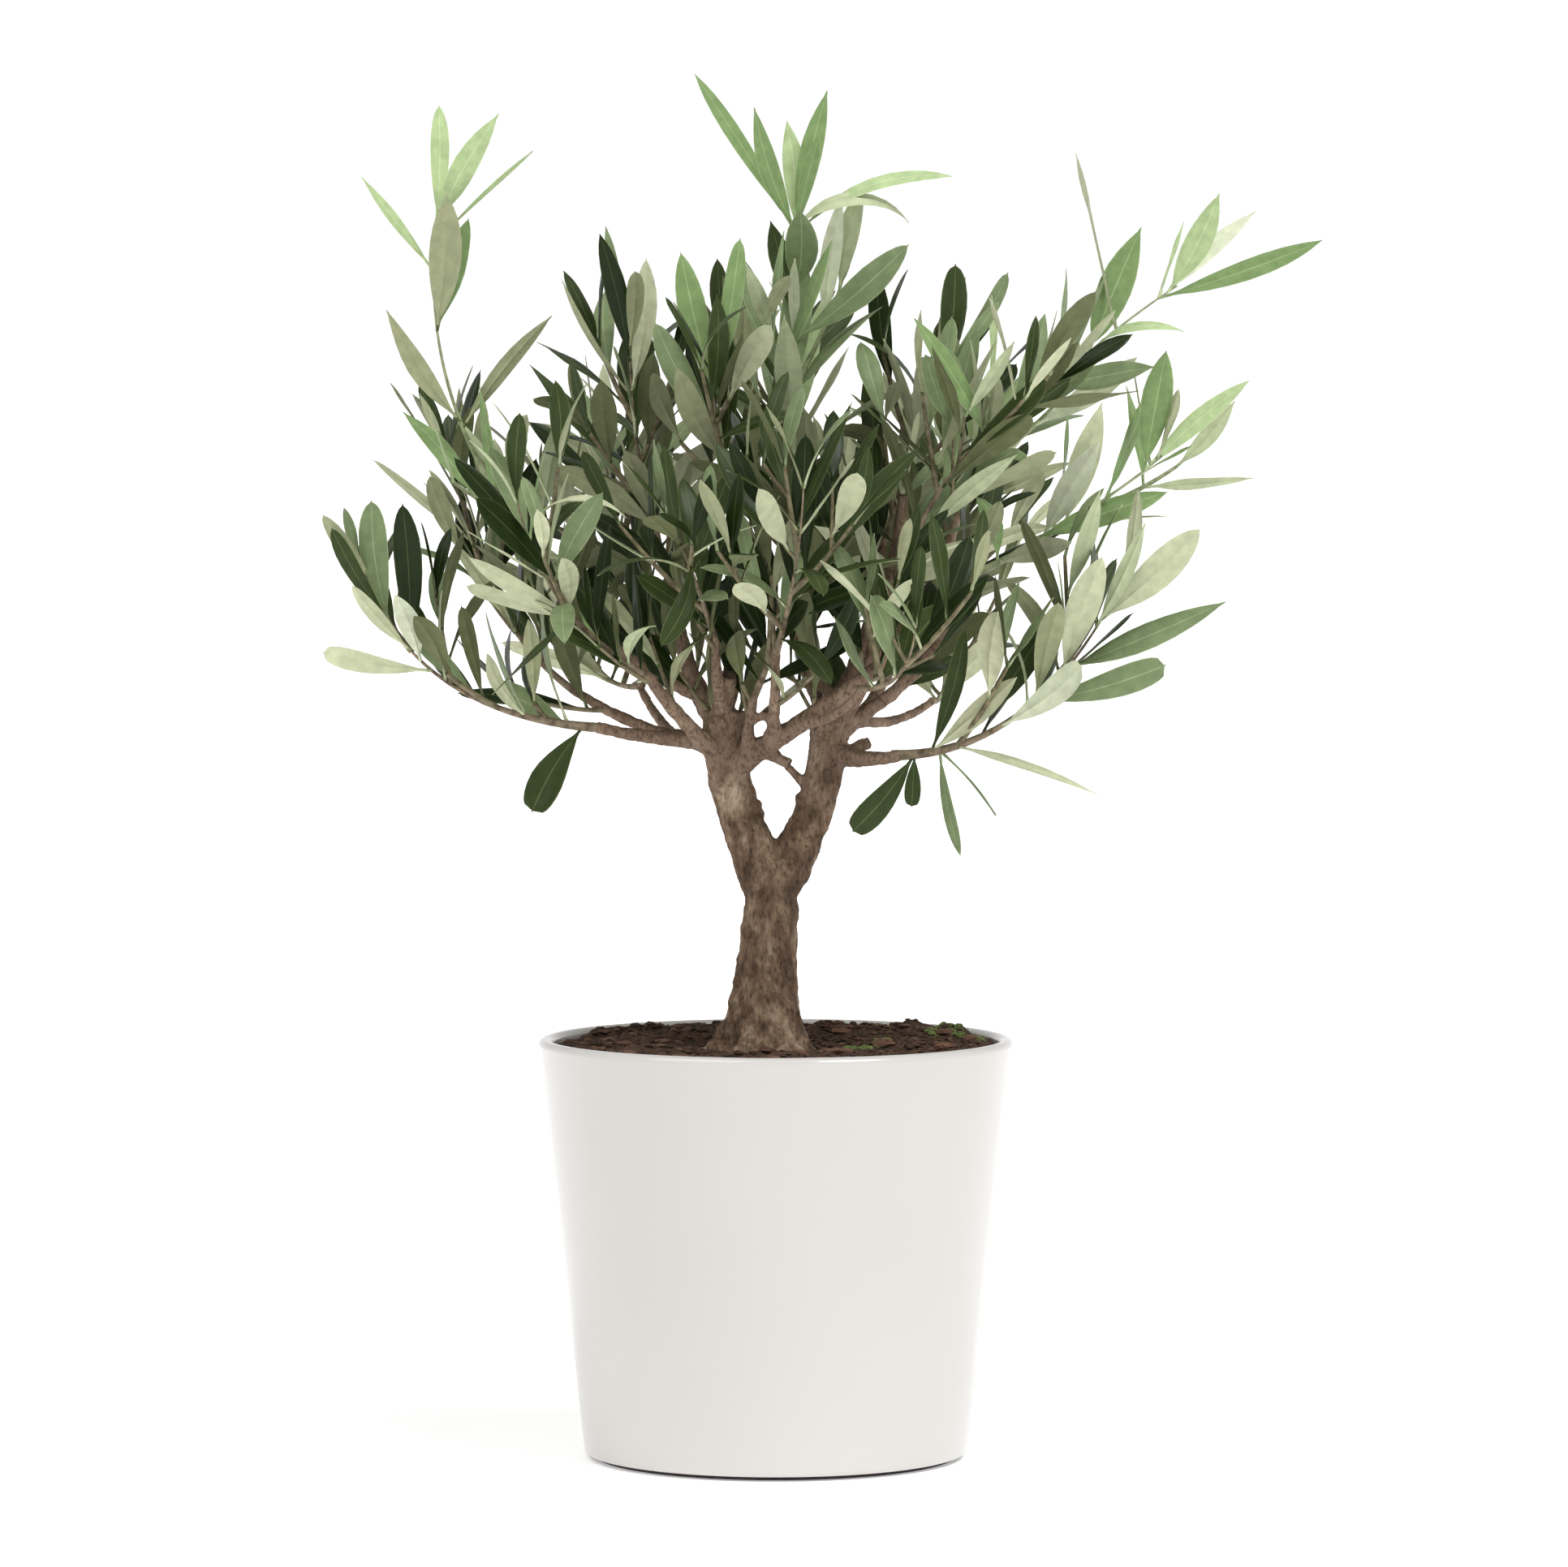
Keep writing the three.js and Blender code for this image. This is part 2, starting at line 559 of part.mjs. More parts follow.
function growMass(settings) {
  const mass = { ...USUAL, ...settings, parts: [], own: new Space() };
  const bough = limbs.get(mass.bough);
  const taper = [bough.radiusAt(1), TWIG.radius[1]];
  const thickness = mass.stemRadius ? [mass.stemRadius, mass.stemRadius] : taper;
  const dice = new Dice(mass.seed);
  mass.leader = leaderOf(mass, bough);
  mass.shoots = shootsOf(mass, thickness, dice);
  mass.outerLeaves = mass.outer.map((tip) => leafTo(tip, mass, dice));
  mass.shoots.forEach((shoot) => {
    shoot.leaves = leavesOn(shoot, mass, dice);
  });
  return mass;
}

// How far a place stands off a mass's leading shoot.
function offLeader(mass, place) {
  return Math.min(...mass.leader.getPoints(12).map((p) => p.distanceTo(place)));
}

// Solids already placed, so that each new leaf or twig stands clear of them.
class Space {
  constructor() {
    this.placed = [];
  }
  add(solid, owner) {
    this.placed.push({ solid, owner, box: solid.boundingBox() });
  }
  isClear(solid, owner) {
    const box = solid.boundingBox();
    const meets = (other) => boxesMeet(box, other.box) && !solid.intersect(other.solid).isEmpty();
    return this.placed.every((other) => other.owner === owner || !meets(other));
  }
}

const plant = new Space();

// Adds a shoot's solid to its mass, and a swollen copy of it to the plant.
function placeShoot(mass, shoot, swollen, solid) {
  shoot.stands = true;
  mass.parts.push(solid);
  mass.own.add(solid, shoot);
  plant.add(swollen, mass.name);
}

function shootSolid({ curve, radius, sides }, steps, extra = 0) {
  return tubeSolid(curve, (share) => lerp(...radius, share) + extra, sides, steps);
}

// The leading shoot always stands, and its foot is cut parallel to the bough's end.
function placeLeader(mass) {
  const leader = mass.shoots[0];
  const solid = shootSolid(leader, TWIG.leaderSteps).subtract(boughEnd(limbs.get(mass.bough)));
  placeShoot(mass, leader, shootSolid(leader, TWIG.leaderSteps, GAP), largestBody(solid));
}

function placeSideTwigs(mass) {
  for (const twig of mass.shoots.slice(1)) {
    const swollen = shootSolid(twig, 1, GAP);
    if (plant.isClear(swollen, mass.name)) placeShoot(mass, twig, swollen, shootSolid(twig, 1));
  }
}

// A leaf stands clear of the other masses and limbs, and doesn't cross its own mass's twigs and leaves.
function placeLeaf(leaf, shoot, mass) {
  const swollen = leafSolid(leaf, GAP);
  const blade = leafSolid(leaf, 0, LEAF.heel);
  if (plant.isClear(swollen, mass.name) && mass.own.isClear(blade, shoot)) {
    mass.parts.push(leafSolid(leaf));
    mass.own.add(blade, leaf);
    plant.add(swollen, mass.name);
  }
}

function placeLeaves(mass) {
  mass.outerLeaves.forEach((leaf) => placeLeaf(leaf, mass.shoots[0], mass));
  for (const shoot of mass.shoots.filter((s) => s.stands)) {
    for (const leaf of shoot.leaves) {
      const tip = leaf.root.clone().addScaledVector(leaf.along, leaf.length);
      if (offLeader(mass, tip) < mass.room) placeLeaf(leaf, shoot, mass);
    }
  }
}

const tree = new THREE.Group();
tree.name = "potted_olive_tree";

function addPart(name, geometry, look) {
  const mesh = new THREE.Mesh(geometry, new THREE.MeshStandardMaterial({ ...look, metalness: 0 }));
  mesh.name = name;
  tree.add(mesh);
}

addPart("pot", potGeometry(), LOOKS.pot);
addPart("soil", soilGeometry(), LOOKS.soil);

growTrunk();
LIMBS.forEach(growLimb);
for (const limb of limbs.values()) {
  addPart(limb.name, geometryOf(limb.solid), LOOKS.bark);
  plant.add(limb.swollen, limb.name);
}

const masses = MASSES.map(growMass);
masses.forEach(placeLeader);
masses.forEach(placeSideTwigs);
masses.forEach(placeLeaves);
for (const mass of masses) {
  addPart(mass.name, joinedGeometry(mass.parts), LOOKS.foliage);
}

export default tree;
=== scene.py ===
"""A young potted olive tree, dressed for the camera.

The limbs, shoots and leaves grow by the same rule as the solids, carried to finer twigs and fuller leaves.
Lengths of the plant and its pot are in millimetres, and every mesh is scaled to metres when it is made.
"""

import json
import math
from itertools import combinations

import bpy
import numpy as np
from mathutils import Matrix, Vector, kdtree, noise
from mathutils.bvhtree import BVHTree

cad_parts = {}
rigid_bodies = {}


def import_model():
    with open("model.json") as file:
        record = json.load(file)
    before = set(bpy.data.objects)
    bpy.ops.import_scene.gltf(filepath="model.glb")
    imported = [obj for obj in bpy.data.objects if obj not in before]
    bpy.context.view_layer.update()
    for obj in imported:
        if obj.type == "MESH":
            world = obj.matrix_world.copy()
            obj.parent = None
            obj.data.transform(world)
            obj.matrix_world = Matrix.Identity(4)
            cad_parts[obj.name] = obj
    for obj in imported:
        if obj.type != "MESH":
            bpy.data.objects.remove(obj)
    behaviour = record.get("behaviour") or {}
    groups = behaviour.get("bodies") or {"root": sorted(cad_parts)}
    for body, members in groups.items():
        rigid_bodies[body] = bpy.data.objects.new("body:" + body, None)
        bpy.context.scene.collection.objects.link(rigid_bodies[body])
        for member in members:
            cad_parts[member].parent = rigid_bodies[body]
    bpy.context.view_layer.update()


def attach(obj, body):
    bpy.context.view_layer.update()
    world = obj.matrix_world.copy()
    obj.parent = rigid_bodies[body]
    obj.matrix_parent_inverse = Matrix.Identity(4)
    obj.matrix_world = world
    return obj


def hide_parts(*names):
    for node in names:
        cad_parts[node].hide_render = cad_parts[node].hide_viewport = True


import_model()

MM = 0.001

# The photograph's camera
CAMERA = {
    "place": (3, -2835, 397.5), "pitch": 2.98, "focal_pixels": 9450, "image_width": 1932, "sensor": 36,
    "far": 1000,  # metres
}
STUDIO = {
    # the surround fades between two heights of the line of sight, from one brightness to another
    "surround": {"From Min": 0.07, "From Max": 0.4, "To Min": 1.05, "To Max": 0.45},
    "floor": {"reach": 400, "drop": 0.2, "glow": 0.33},  # reach in metres
    "suns": {"key": (1.7, 25, (0.6, -0.5, 1.1)), "fill": (0.85, 40, (-0.6, -0.45, 1.1))},
}

# The plant's own sizes, as in the solids
POT = {
    "height": 155.5, "rim_radius": 88.2, "shoulder_radius": 71.3, "wall": 5.6, "floor": 8, "cove": 4,
    "foot_radius": 67.5, "foot_height": 1.4, "foot_bevel": 0.6, "lip_radius": 2.6, "corner_radius": 2,
    "sides": 160,
}
SOIL = {
    "drop": 4.5, "lump": 2.4, "waves": [(0.19, 0.16, 1.3), (0.19, -0.16, 1.3), (-0.13, 0.27, 0.7)],
    "seat_radius": 31, "fade": 12,
    "crown": 1.6,  # how far the loose crumbs lie above the solid's surface, and more so in these heaps
    "heaps": [(54, 46, 34, 2.6), (-24, 66, 42, 2.1), (72, -4, 22, 1)],
    "rough": [(0.09, 5, 1.1), (0.35, 4, 0.7)],  # pitch, layers and height of the fine lumps
    "off_wall": 0.2, "depth": 12, "taper": 0.99, "rings": 90, "sides": 260,
    "edge": (4, 1.5),  # width of the strip along the wall that sinks, and how far
}
SOIL_LEVEL = POT["height"] - SOIL["drop"]
CRUMBS = {
    "off_wall": 3.5,
    "off_trunk": 21,
    "stretch": (0.7, 1.3),
    "flatness": (0.7, 1.2),
    "jags": (1.7, 0.35),  # pitch and height
    # piece: seed, number, sizes, flatness, how high its middle lies as a share of its thickness, and its
    # material's name, dark tone, pale tone and pitch
    "kinds": {
        "dark_crumbs": (61, 3400, (0.4, 2.3), 0.55, 0.2,
                        ("dark_crumb", (0.03, 0.017, 0.011), (0.085, 0.05, 0.033), 180)),
        "brown_crumbs": (62, 1000, (0.3, 1.8), 0.5, 0.2,
                         ("brown_crumb", (0.08, 0.045, 0.028), (0.2, 0.12, 0.075), 180)),
        "bark_chips": (63, 160, (1.2, 5.5), 0.38, 0.2,
                       ("bark_chip", (0.06, 0.03, 0.02), (0.2, 0.105, 0.065), 180)),
        "moss": (64, 900, (0.4, 1.3), 0.8, 0.5,
                 ("moss", (0.07, 0.1, 0.025), (0.22, 0.26, 0.09), 500)),
    },
    "areas": {"moss": [(61, 34, 11), (34, -2, 9), (72, 8, 7)]},  # x, y and radius
}
TRUNK = {
    "foot": (-4, 0), "top": (0, 0, 221), "bow": (-1, 0, 0), "foot_radius": 12.4, "top_radius": 9,
    "flare": 7.5, "flare_height": 9, "ribs": [(3, 0.3, 0.8), (5, 0.15, 0)],
}
GAP = 0.3  # between the soil and the trunk's foot

# Woody limbs: name, parent, share of the parent's length, far end, bow, radius at each end
LIMBS = [
    ("left_stem", "trunk", 0.86, (-19, -1, 277), (-5, 0, 0), (7, 8.2)),
    ("right_stem", "trunk", 0.86, (20, 4, 277), (5.5, 0, -1), (6.4, 7.2)),
    ("cross_bough", "left_stem", 0.7, (42, -27, 298), (0, -8, -2), (4.4, 2.5)),
    ("left_low_bough", "left_stem", 0.84, (-66, -7, 271), (0, -1, -1.5), (3.2, 2.1)),
    ("left_back_bough", "left_stem", 0.8, (-77, 32, 284), (0, 2, -4), (2.9, 1.7)),
    ("left_front_bough", "left_stem", 0.72, (-47, -26, 291), (-1, -3, -1), (3.5, 2.1)),
    ("left_tuft_bough", "left_stem", 0.9, (-38, 10, 322), (-3, 2, -4), (3.6, 2)),
    ("left_outer_bough", "left_tuft_bough", 0.3, (-80, 20, 326), (-5, 2, -6), (2.8, 1.8)),
    ("front_left_bough", "left_stem", 0.96, (-22, -27, 304), (-1, -4, 0), (2.7, 1.7)),
    ("back_left_bough", "left_stem", 0.88, (-38, 52, 308), (-2, 4, -5), (3.2, 1.8)),
    ("back_low_left_bough", "left_back_bough", 0.3, (-52, 68, 284), (0, 4, -3), (2.3, 1.5)),
    ("front_bough", "cross_bough", 0.3, (0, -45, 300), (0, -4, -3), (2.7, 1.7)),
    ("inner_front_bough", "cross_bough", 0.14, (-8, -19, 283), (-1, -2, -1), (2.4, 1.7)),
    ("front_low_bough", "cross_bough", 0.5, (32, -56, 288), (0, -3, -4), (2.3, 1.5)),
    ("centre_bough", "right_stem", 0.96, (5, 8, 352), (-2, 3, -3), (3.7, 2)),
    ("inner_left_bough", "centre_bough", 0.35, (-12, -8, 346), (-4, -2, -3), (2.4, 1.6)),
    ("pruned_bough", "right_stem", 0.92, (36, -9, 302), (3, -2, -2), (2.9, 2.3)),
    ("centre_right_bough", "right_stem", 0.97, (40, 15, 338), (3, 2, -3), (3.2, 1.9)),
    ("right_upper_bough", "centre_right_bough", 0.3, (68, 24, 350), (5, 2, -6), (2.8, 1.8)),
    ("right_mid_bough", "right_stem", 0.88, (73, 6, 328), (6, 0, -6), (2.8, 1.7)),
    ("right_low_bough", "right_stem", 0.78, (46, -10, 261), (-1, -1, -2), (3.4, 2.2)),
    ("back_right_bough", "right_stem", 0.84, (48, 54, 304), (2, 4, -6), (3.2, 1.8)),
    ("back_low_right_bough", "back_right_bough", 0.32, (60, 72, 278), (0, 4, -4), (2.2, 1.5)),
    ("back_centre_bough", "right_stem", 0.96, (6, 50, 308), (-1, 5, -3), (3, 1.8)),
    ("dry_twig", "right_stem", 0.55, (-3, 0, 266), (0, 0, -2), (1.8, 1.2)),
]

# What is usual for a mass of foliage, as in the solids. `tint` says what leaves it bears. On its leading
# shoot they grow by the rule from `bare` to `top`, shares of its length.
USUAL = {
    "bare": 0.07, "top": 1, "twigs": 3, "twig_zone": (0.1, 0.8), "reach": 42, "room": 52, "leaf": 50,
    "gap": 18, "spread": 34, "lift": 0.25, "stem_radius": None, "fine": 1, "tint": "mature",
}


def foliage(bough, tip, bow, seed, **own):
    """A mass on a bough's end: tip and bow of its leading shoot, its seed, and what isn't usual about it."""
    names = {"name": f"{bough}_foliage", "bough": f"{bough}_bough"}
    return {**USUAL, **names, "tip": tip, "bow": bow, "seed": seed, **own}


MASSES = [
    # The top sprays are tinted pale or young: partly young leaves' own colour and partly painted light
    # shining through the leaves.
    foliage("left_outer", (-125, 12, 462), (-17, 0, -4), 11, name="upper_left_sprig", tint="pale", bare=0.7,
            top=0, twigs=2, twig_zone=(0, 0.3), reach=30, room=30, leaf=52, spread=24, fine=0),
    foliage("centre", (7, 2, 458), (1, 0, 0), 12, name="crown_top_foliage", tint="pale", top=0.62,
            twig_zone=(0.1, 0.5), room=50, leaf=56, spread=30, fine=0),
    foliage("right_upper", (149, 20, 434), (-6, 0, 4), 13, name="upper_right_foliage", tint="young", bare=0.1,
            top=0.2, twigs=2, twig_zone=(0.03, 0.3), reach=34, leaf=56, gap=24, spread=30, fine=0),
    foliage("right_mid", (143, 4, 371), (0, 0, -3), 14, tint="pale", twigs=2, room=42, gap=24, spread=36,
            fine=0),
    foliage("right_low", (128, -30, 328), (5, 0, -16), 34, tint="silver", leaf=54, gap=22, lift=0.6, fine=0),
    foliage("left_low", (-151, -16, 328), (-12, 0, -12), 16, tint="silver", top=0.8, twigs=4, reach=40,
            room=42, leaf=44, lift=0.6, fine=0),
    foliage("left_front", (-94, -54, 356), (-7, 0, -6), 17, tint="silver", spread=38, fine=0),
    foliage("left_back", (-118, 50, 356), (-6, 0, -6), 18, twigs=4, spread=36, lift=0.6),
    foliage("left_tuft", (-54, 4, 412), (-4, 0, 0), 19, twigs=4, spread=28, fine=0),
    foliage("inner_left", (-24, -22, 404), (-2, 0, 0), 20, leaf=54, spread=32, fine=0),
    foliage("front_left", (-40, -84, 352), (0, -6, 4), 21, twigs=2, leaf=46, spread=36, fine=0),
    foliage("front", (10, -90, 362), (2, -8, 0), 22, tint="silver", spread=36),
    # Tinted deep: its leaves are darkened as painted shade inside the crown.
    foliage("inner_front", (9, -28, 358), (3, -3, -3), 32, tint="deep", bare=0.03, twigs=4, reach=36, leaf=48,
            spread=40, fine=2),
    foliage("front_low", (50, -100, 312), (4, 0, -6), 23, twigs=2, leaf=46, spread=42, lift=0.6),
    foliage("cross", (102, -46, 398), (-13, 0, 9), 24, tint="silver", twigs=4, leaf=52),
    foliage("pruned", (47, -18, 357), (1, 0, 0), 25, name="pruned_shoot_foliage", tint="silver", bare=0.3,
            twigs=1, reach=30, leaf=40, spread=56, stem_radius=2.1, fine=0),
    foliage("centre_right", (60, 6, 402), (0, 0, 0), 26, twigs=4, spread=30, fine=0),
    foliage("back_left", (-66, 108, 372), (-4, 4, -6), 27, twigs=4, fine=2),
    foliage("back_low_left", (-76, 120, 306), (-2, 4, -8), 28, twigs=2, leaf=46, lift=0.6, fine=2),
    foliage("back_right", (68, 100, 366), (4, 4, -6), 29, twigs=4, fine=2),
    foliage("back_low_right", (66, 124, 304), (2, 4, -8), 30, twigs=2, leaf=46, lift=0.6, fine=2),
    foliage("back_centre", (8, 88, 410), (0, 8, -6), 31, twigs=4, leaf=52),
]
MASS_NAMES = [mass["name"] for mass in MASSES]

# How a leaf of the outline lies unless it has its own way. `under` shows its underside.
OWN = {"roll": 0, "curl": 0, "outlook": (0, -1, 0), "under": False}


def leaf_end(x, y, z, kind, slim=None, length=None, **own):
    """Where a leaf of the outline ends, its kind, its full width as a share of its length, and its length."""
    width = {} if slim is None else {"slim": slim}
    return {"end": Vector((x, y, z)), "length": length, "own": {**OWN, "kind": kind, **width, **own}}


OUTLINE = {
    "upper_left_sprig": [
        leaf_end(-144, 6, 425, "mature", 0.16, under=True),
        leaf_end(-125, 20, 501, "young", 0.16, 38),
        leaf_end(-102, -2, 497, "young", 0.2, 42),
        leaf_end(-153, 4, 474, "young", 0.11, 46, roll=0.8),
        leaf_end(-90, 18, 484, "young", 0.045, roll=2),
        leaf_end(-121, -4, 467, "mature", 0.23, 54, under=True),
        leaf_end(-114, 18, 459, "fresh", 0.24, 44),
        leaf_end(-83, 14, 423, "mature", 0.13, 54, under=True, roll=1),
    ],
    "crown_top_foliage": [
        leaf_end(-30, 6, 512, "fresh", 0.11, 62, roll=1),
        leaf_end(-8, -14, 499, "fresh", 0.17, 46),
        leaf_end(19, 8, 506, "fresh", 0.16, 52),
        leaf_end(4, 14, 495, "young", 0.2, 32),
        leaf_end(16, -4, 489, "fresh", 0.18, 38),
        leaf_end(65, -2, 474, "young", 0.1, 62, curl=0.45, outlook=(0, -1, 0.7)),
        leaf_end(49, 8, 457, "fresh", 0.17, 40, under=True, curl=1.1, outlook=(0, -1.4, 0.7)),
        leaf_end(9, -18, 461, "silver", 0.34, 38),
        leaf_end(-2, 12, 458, "mature", 0.25, 38),
        leaf_end(49, -6, 449, "silver", 0.22),
    ],
    "upper_right_foliage": [
        leaf_end(203, 20, 451, "fresh", 0.13, 66, curl=-0.25, outlook=(0, -1, 0.4)),
        leaf_end(164, 8, 468, "young", 0.25, 42),
        leaf_end(179, 32, 462, "young", 0.14, 44, under=True),
        leaf_end(152, 28, 458, "young", length=32, roll=2),
        leaf_end(136, 26, 456, "fresh", 0.28, 52),
        leaf_end(111, 10, 483, "silver", length=68, roll=2.5),
        leaf_end(151, 10, 417, "young", 0.16, 34, curl=0.8, outlook=(0, -1, 0.5)),
        leaf_end(140, 0, 404, "silver", 0.27, 44),
        leaf_end(119, -6, 410, "silver", 0.16, 46, roll=0.8),
        leaf_end(122, 4, 438, "silver", length=44, roll=2),
    ],
    "right_mid_foliage": [
        leaf_end(144, -2, 410, "fresh", 0.26, 46),
        leaf_end(132, 10, 406, "silver", length=40, roll=2),
        leaf_end(175, 4, 399, "young", 0.15, 52),
        leaf_end(120, -10, 391, "silver", 0.24, under=True),
        # Painted light: this leaf takes the brighter young colours so that it shows as lit.
        leaf_end(119, -20, 377, "young", 0.2, under=True),
    ],
    "right_low_foliage": [
        leaf_end(143, -30, 295, "silver", 0.22, 52, closing=0.3),
        leaf_end(165, -26, 318, "silver", 0.16, 64),
        leaf_end(155, -36, 345, "silver", 0.25, 50, under=True, closing=0.68),
        leaf_end(112, -40, 295, "young", 0.26, 44, under=True, closing=0.3),
        leaf_end(119, -40, 335, "silver", 0.25, 50, under=True, closing=0.68),
        leaf_end(28, -20, 233, "mature", 0.29, 34, closing=0.3),
        leaf_end(50, -14, 242, "mature", 0.36, 17, closing=0.35),
        leaf_end(118, -24, 247, "silver", 0.12, 56, under=True, curl=0.3, outlook=(0, -1, 0.5)),
        leaf_end(81, -20, 239, "silver", 0.03, 33, curl=-0.2),
        leaf_end(68, -14, 224, "silver", 0.12, 36, roll=1.5),
    ],
    "left_low_foliage": [
        leaf_end(-167, -14, 299, "silver", 0.2, 42, under=True, closing=0.32),
        leaf_end(-137, -20, 354, "dark", 0.22, 56),
        leaf_end(-163, -22, 345, "mature", 0.17, 42),
        leaf_end(-149, -10, 355, "silver", 0.24, 46),
        leaf_end(-155, -30, 324, "silver", 0.16, 36, under=True),
        leaf_end(-139, -36, 321, "young", 0.24, 36, under=True),
        leaf_end(-90, -14, 240, "mature", 0.36, closing=0.3),
    ],
    "left_front_foliage": [
        leaf_end(-111, -62, 335, "silver", 0.13, under=True),
        leaf_end(-117, -46, 371, "dark"),
        leaf_end(-54, -60, 349, "silver", 0.13, 36, under=True, curl=1.2, outlook=(0, -0.6, 1)),
        leaf_end(-103, -52, 285, "mature", 0.15, 42, roll=0.6),
    ],
    "left_tuft_foliage": [
        leaf_end(-79, 8, 436, "mature", 0.12, roll=1.5, curl=-0.25, outlook=(0.5, -0.4, 0.6)),
        leaf_end(-65, 0, 453, "dark", 0.17),
        leaf_end(-63, 10, 456, "silver", roll=2),
        leaf_end(-48, 6, 444, "silver", 0.2, under=True),
    ],
    "inner_left_foliage": [
        leaf_end(-13, -24, 451, "fresh", 0.13, 58, roll=0.6, curl=0.3, outlook=(-0.4, -0.8, 0.6)),
        leaf_end(-35, -10, 446, "fresh", 0.2),
    ],
    "pruned_shoot_foliage": [
        leaf_end(76, -34, 341, "silver", 0.25, 44, under=True),
        leaf_end(14, -34, 346, "silver", 0.24, 38, under=True),
    ],
    "centre_right_foliage": [
        leaf_end(70, 2, 437, "mature", 0.14),
        leaf_end(86, 10, 439, "silver", roll=1.5, curl=0.2),
    ],
}

# The rule by which shoots and leaves grow
TWIG = {
    "radius": (1.2, 0.65), "bare": 0.15, "reach": (1.1, 0.75), "sizes": (0.85, 1.15), "divergence": 44,
    "wander": 10, "golden_angle": 2.4, "first": 0.4, "turn": 0.4, "lift": 1.6, "sag": 0.04, "sides": 8,
    "step": 5,
    "sunk": 3,  # length of a leading shoot inside its bough
    "leader": (0.9, 0.55, 1.8),  # shares of its radii at foot and tip, and the power by which it tapers
}
FINE = {"seed": 500, "shares": (0.62, 0.3), "reach": 24, "radius": (0.85, 0.5), "divergence": 50}

# Leaves of the outline: places up the leading shoot that are tried, and how they face
OUTER = {"steps": 60, "first": 3, "last": 58, "lean": 0.4, "roll": 0.3}
PAIRS = {
    "foot": 0.2, "short": 0.1, "turn": 0.25, "wander": 9, "spread": (1.5, 0.6), "tip_size": 0.7,
    "outlook": 0.35, "lift": 1.7,
}
LEAF = {
    "seed": 7,
    "sizes": (0.78, 1.08),
    "curls": (-0.02, 0.16),
    "roll": 0.5,
    "slim": (0.17, 0.25),  # full width as a share of the length
    "outer_slim": (0.13, 0.2),
    "opening": 0.9,  # powers by which the blade swells from its stalk and closes to its tip
    "closing": (0.48, 0.78),
    "youth": (0.85, 0.25),  # a young leaf is slimmer by this factor, and closes by a power so much higher
    "twist": (-0.6, 0.6),
    "sway": (-0.045, 0.045),
    "cup": (0.15, 0.6),
    "wave": (0, 0.14),
    "phase": (0, 6),
    "wander": 0.14,
    "extra_roll": 0.7,
    "arched": (0.3, 0.12, 0.5),  # how many leaves arch more, and by how much
    "outer_arch": 0.4,
    "middle": 0.55,
    "near": 58,  # leaves with their middles further apart can't cross
}

# The shape of one leaf, in shares of its length or half width, and millimetres for its thickness
BLADE = {
    "petiole": 0.08,
    "petiole_radius": 0.6,
    "swells": (0.05, 0.2),  # where the round stalk turns into the flat blade
    "point": 0.982,  # where the blade ends and its small point begins
    "point_width": (0.35, 0.06),
    "thick": (0.6, 0.3),  # thickness of the blade at its foot, and the share of it lost by the tip
    "under": 0.6,  # share of the thickness below the margins' plane
    "rib": 0.045,
    "margin": 0.94,  # the pale margin begins here
    "cup": (0.5, 0.55),  # how the sides rise, and how the margins turn down again
    "waves": 9,
    "groove": (0.14, 0.2),  # depth, and how far out it reaches
    "ridge": 0.45,
}

# Short leafy spurs on the boughs inside the crown: shares of each bough's length where they stand
SPURS = {
    "seed": 900,
    "boughs": {
        "left_stem": (0.75, 0.9), "right_stem": (0.7, 0.85), "cross_bough": (0.35, 0.55, 0.8),
        "left_front_bough": (0.6, 0.9), "left_back_bough": (0.75, 0.95), "left_tuft_bough": (0.4, 0.8),
        "front_left_bough": (0.5, 0.9), "back_left_bough": (0.5, 0.9), "front_bough": (0.5, 0.9),
        "inner_front_bough": (0.6, 0.9), "centre_bough": (0.3, 0.5, 0.75), "inner_left_bough": (0.4, 0.8),
        "centre_right_bough": (0.5, 0.85), "right_mid_bough": (0.5, 0.8), "back_right_bough": (0.5, 0.9),
        "back_centre_bough": (0.4, 0.7), "pruned_bough": (0.6, 0.9),
    },
    "reach": 30,
    "radius": (1, 0.55),
    "divergence": 48,
}
# The spurs inside the crown bear deep-tinted leaves, darkened as painted shade.
SPUR_MASS = {"leaf": 48, "gap": 18, "spread": 36, "lift": 0.5, "tint": "deep"}
UP = Vector((0, 0, 1))


class Dice:
    """Seeded numbers, the same as in the solids."""

    def __init__(self, seed):
        self.state = (seed * 2654435761) & 0xFFFFFFFF
        self.roll()
        self.roll()

    def roll(self):
        self.state = (self.state * 1664525 + 1013904223) & 0xFFFFFFFF
        return self.state / 4294967296

    def between(self, low, high):
        return low + (high - low) * self.roll()

    def about(self, reach):
        return self.between(-reach, reach)


def mix(low, high, share):
    return low + (high - low) * share


def smoothstep(value, low, high):
    share = min(max((value - low) / (high - low), 0), 1)
    return share * share * (3 - 2 * share)


def swung(first, second, angle):
    """A direction turned from the first by an angle towards the second, which is square to it."""
    return first * math.cos(angle) + second * math.sin(angle)


def layered_noise(place, octaves, falloff=1.0):
    """Noise in layers, each about twice as fine as the one before."""
    return noise.fractal(place, falloff, 2.1, octaves)


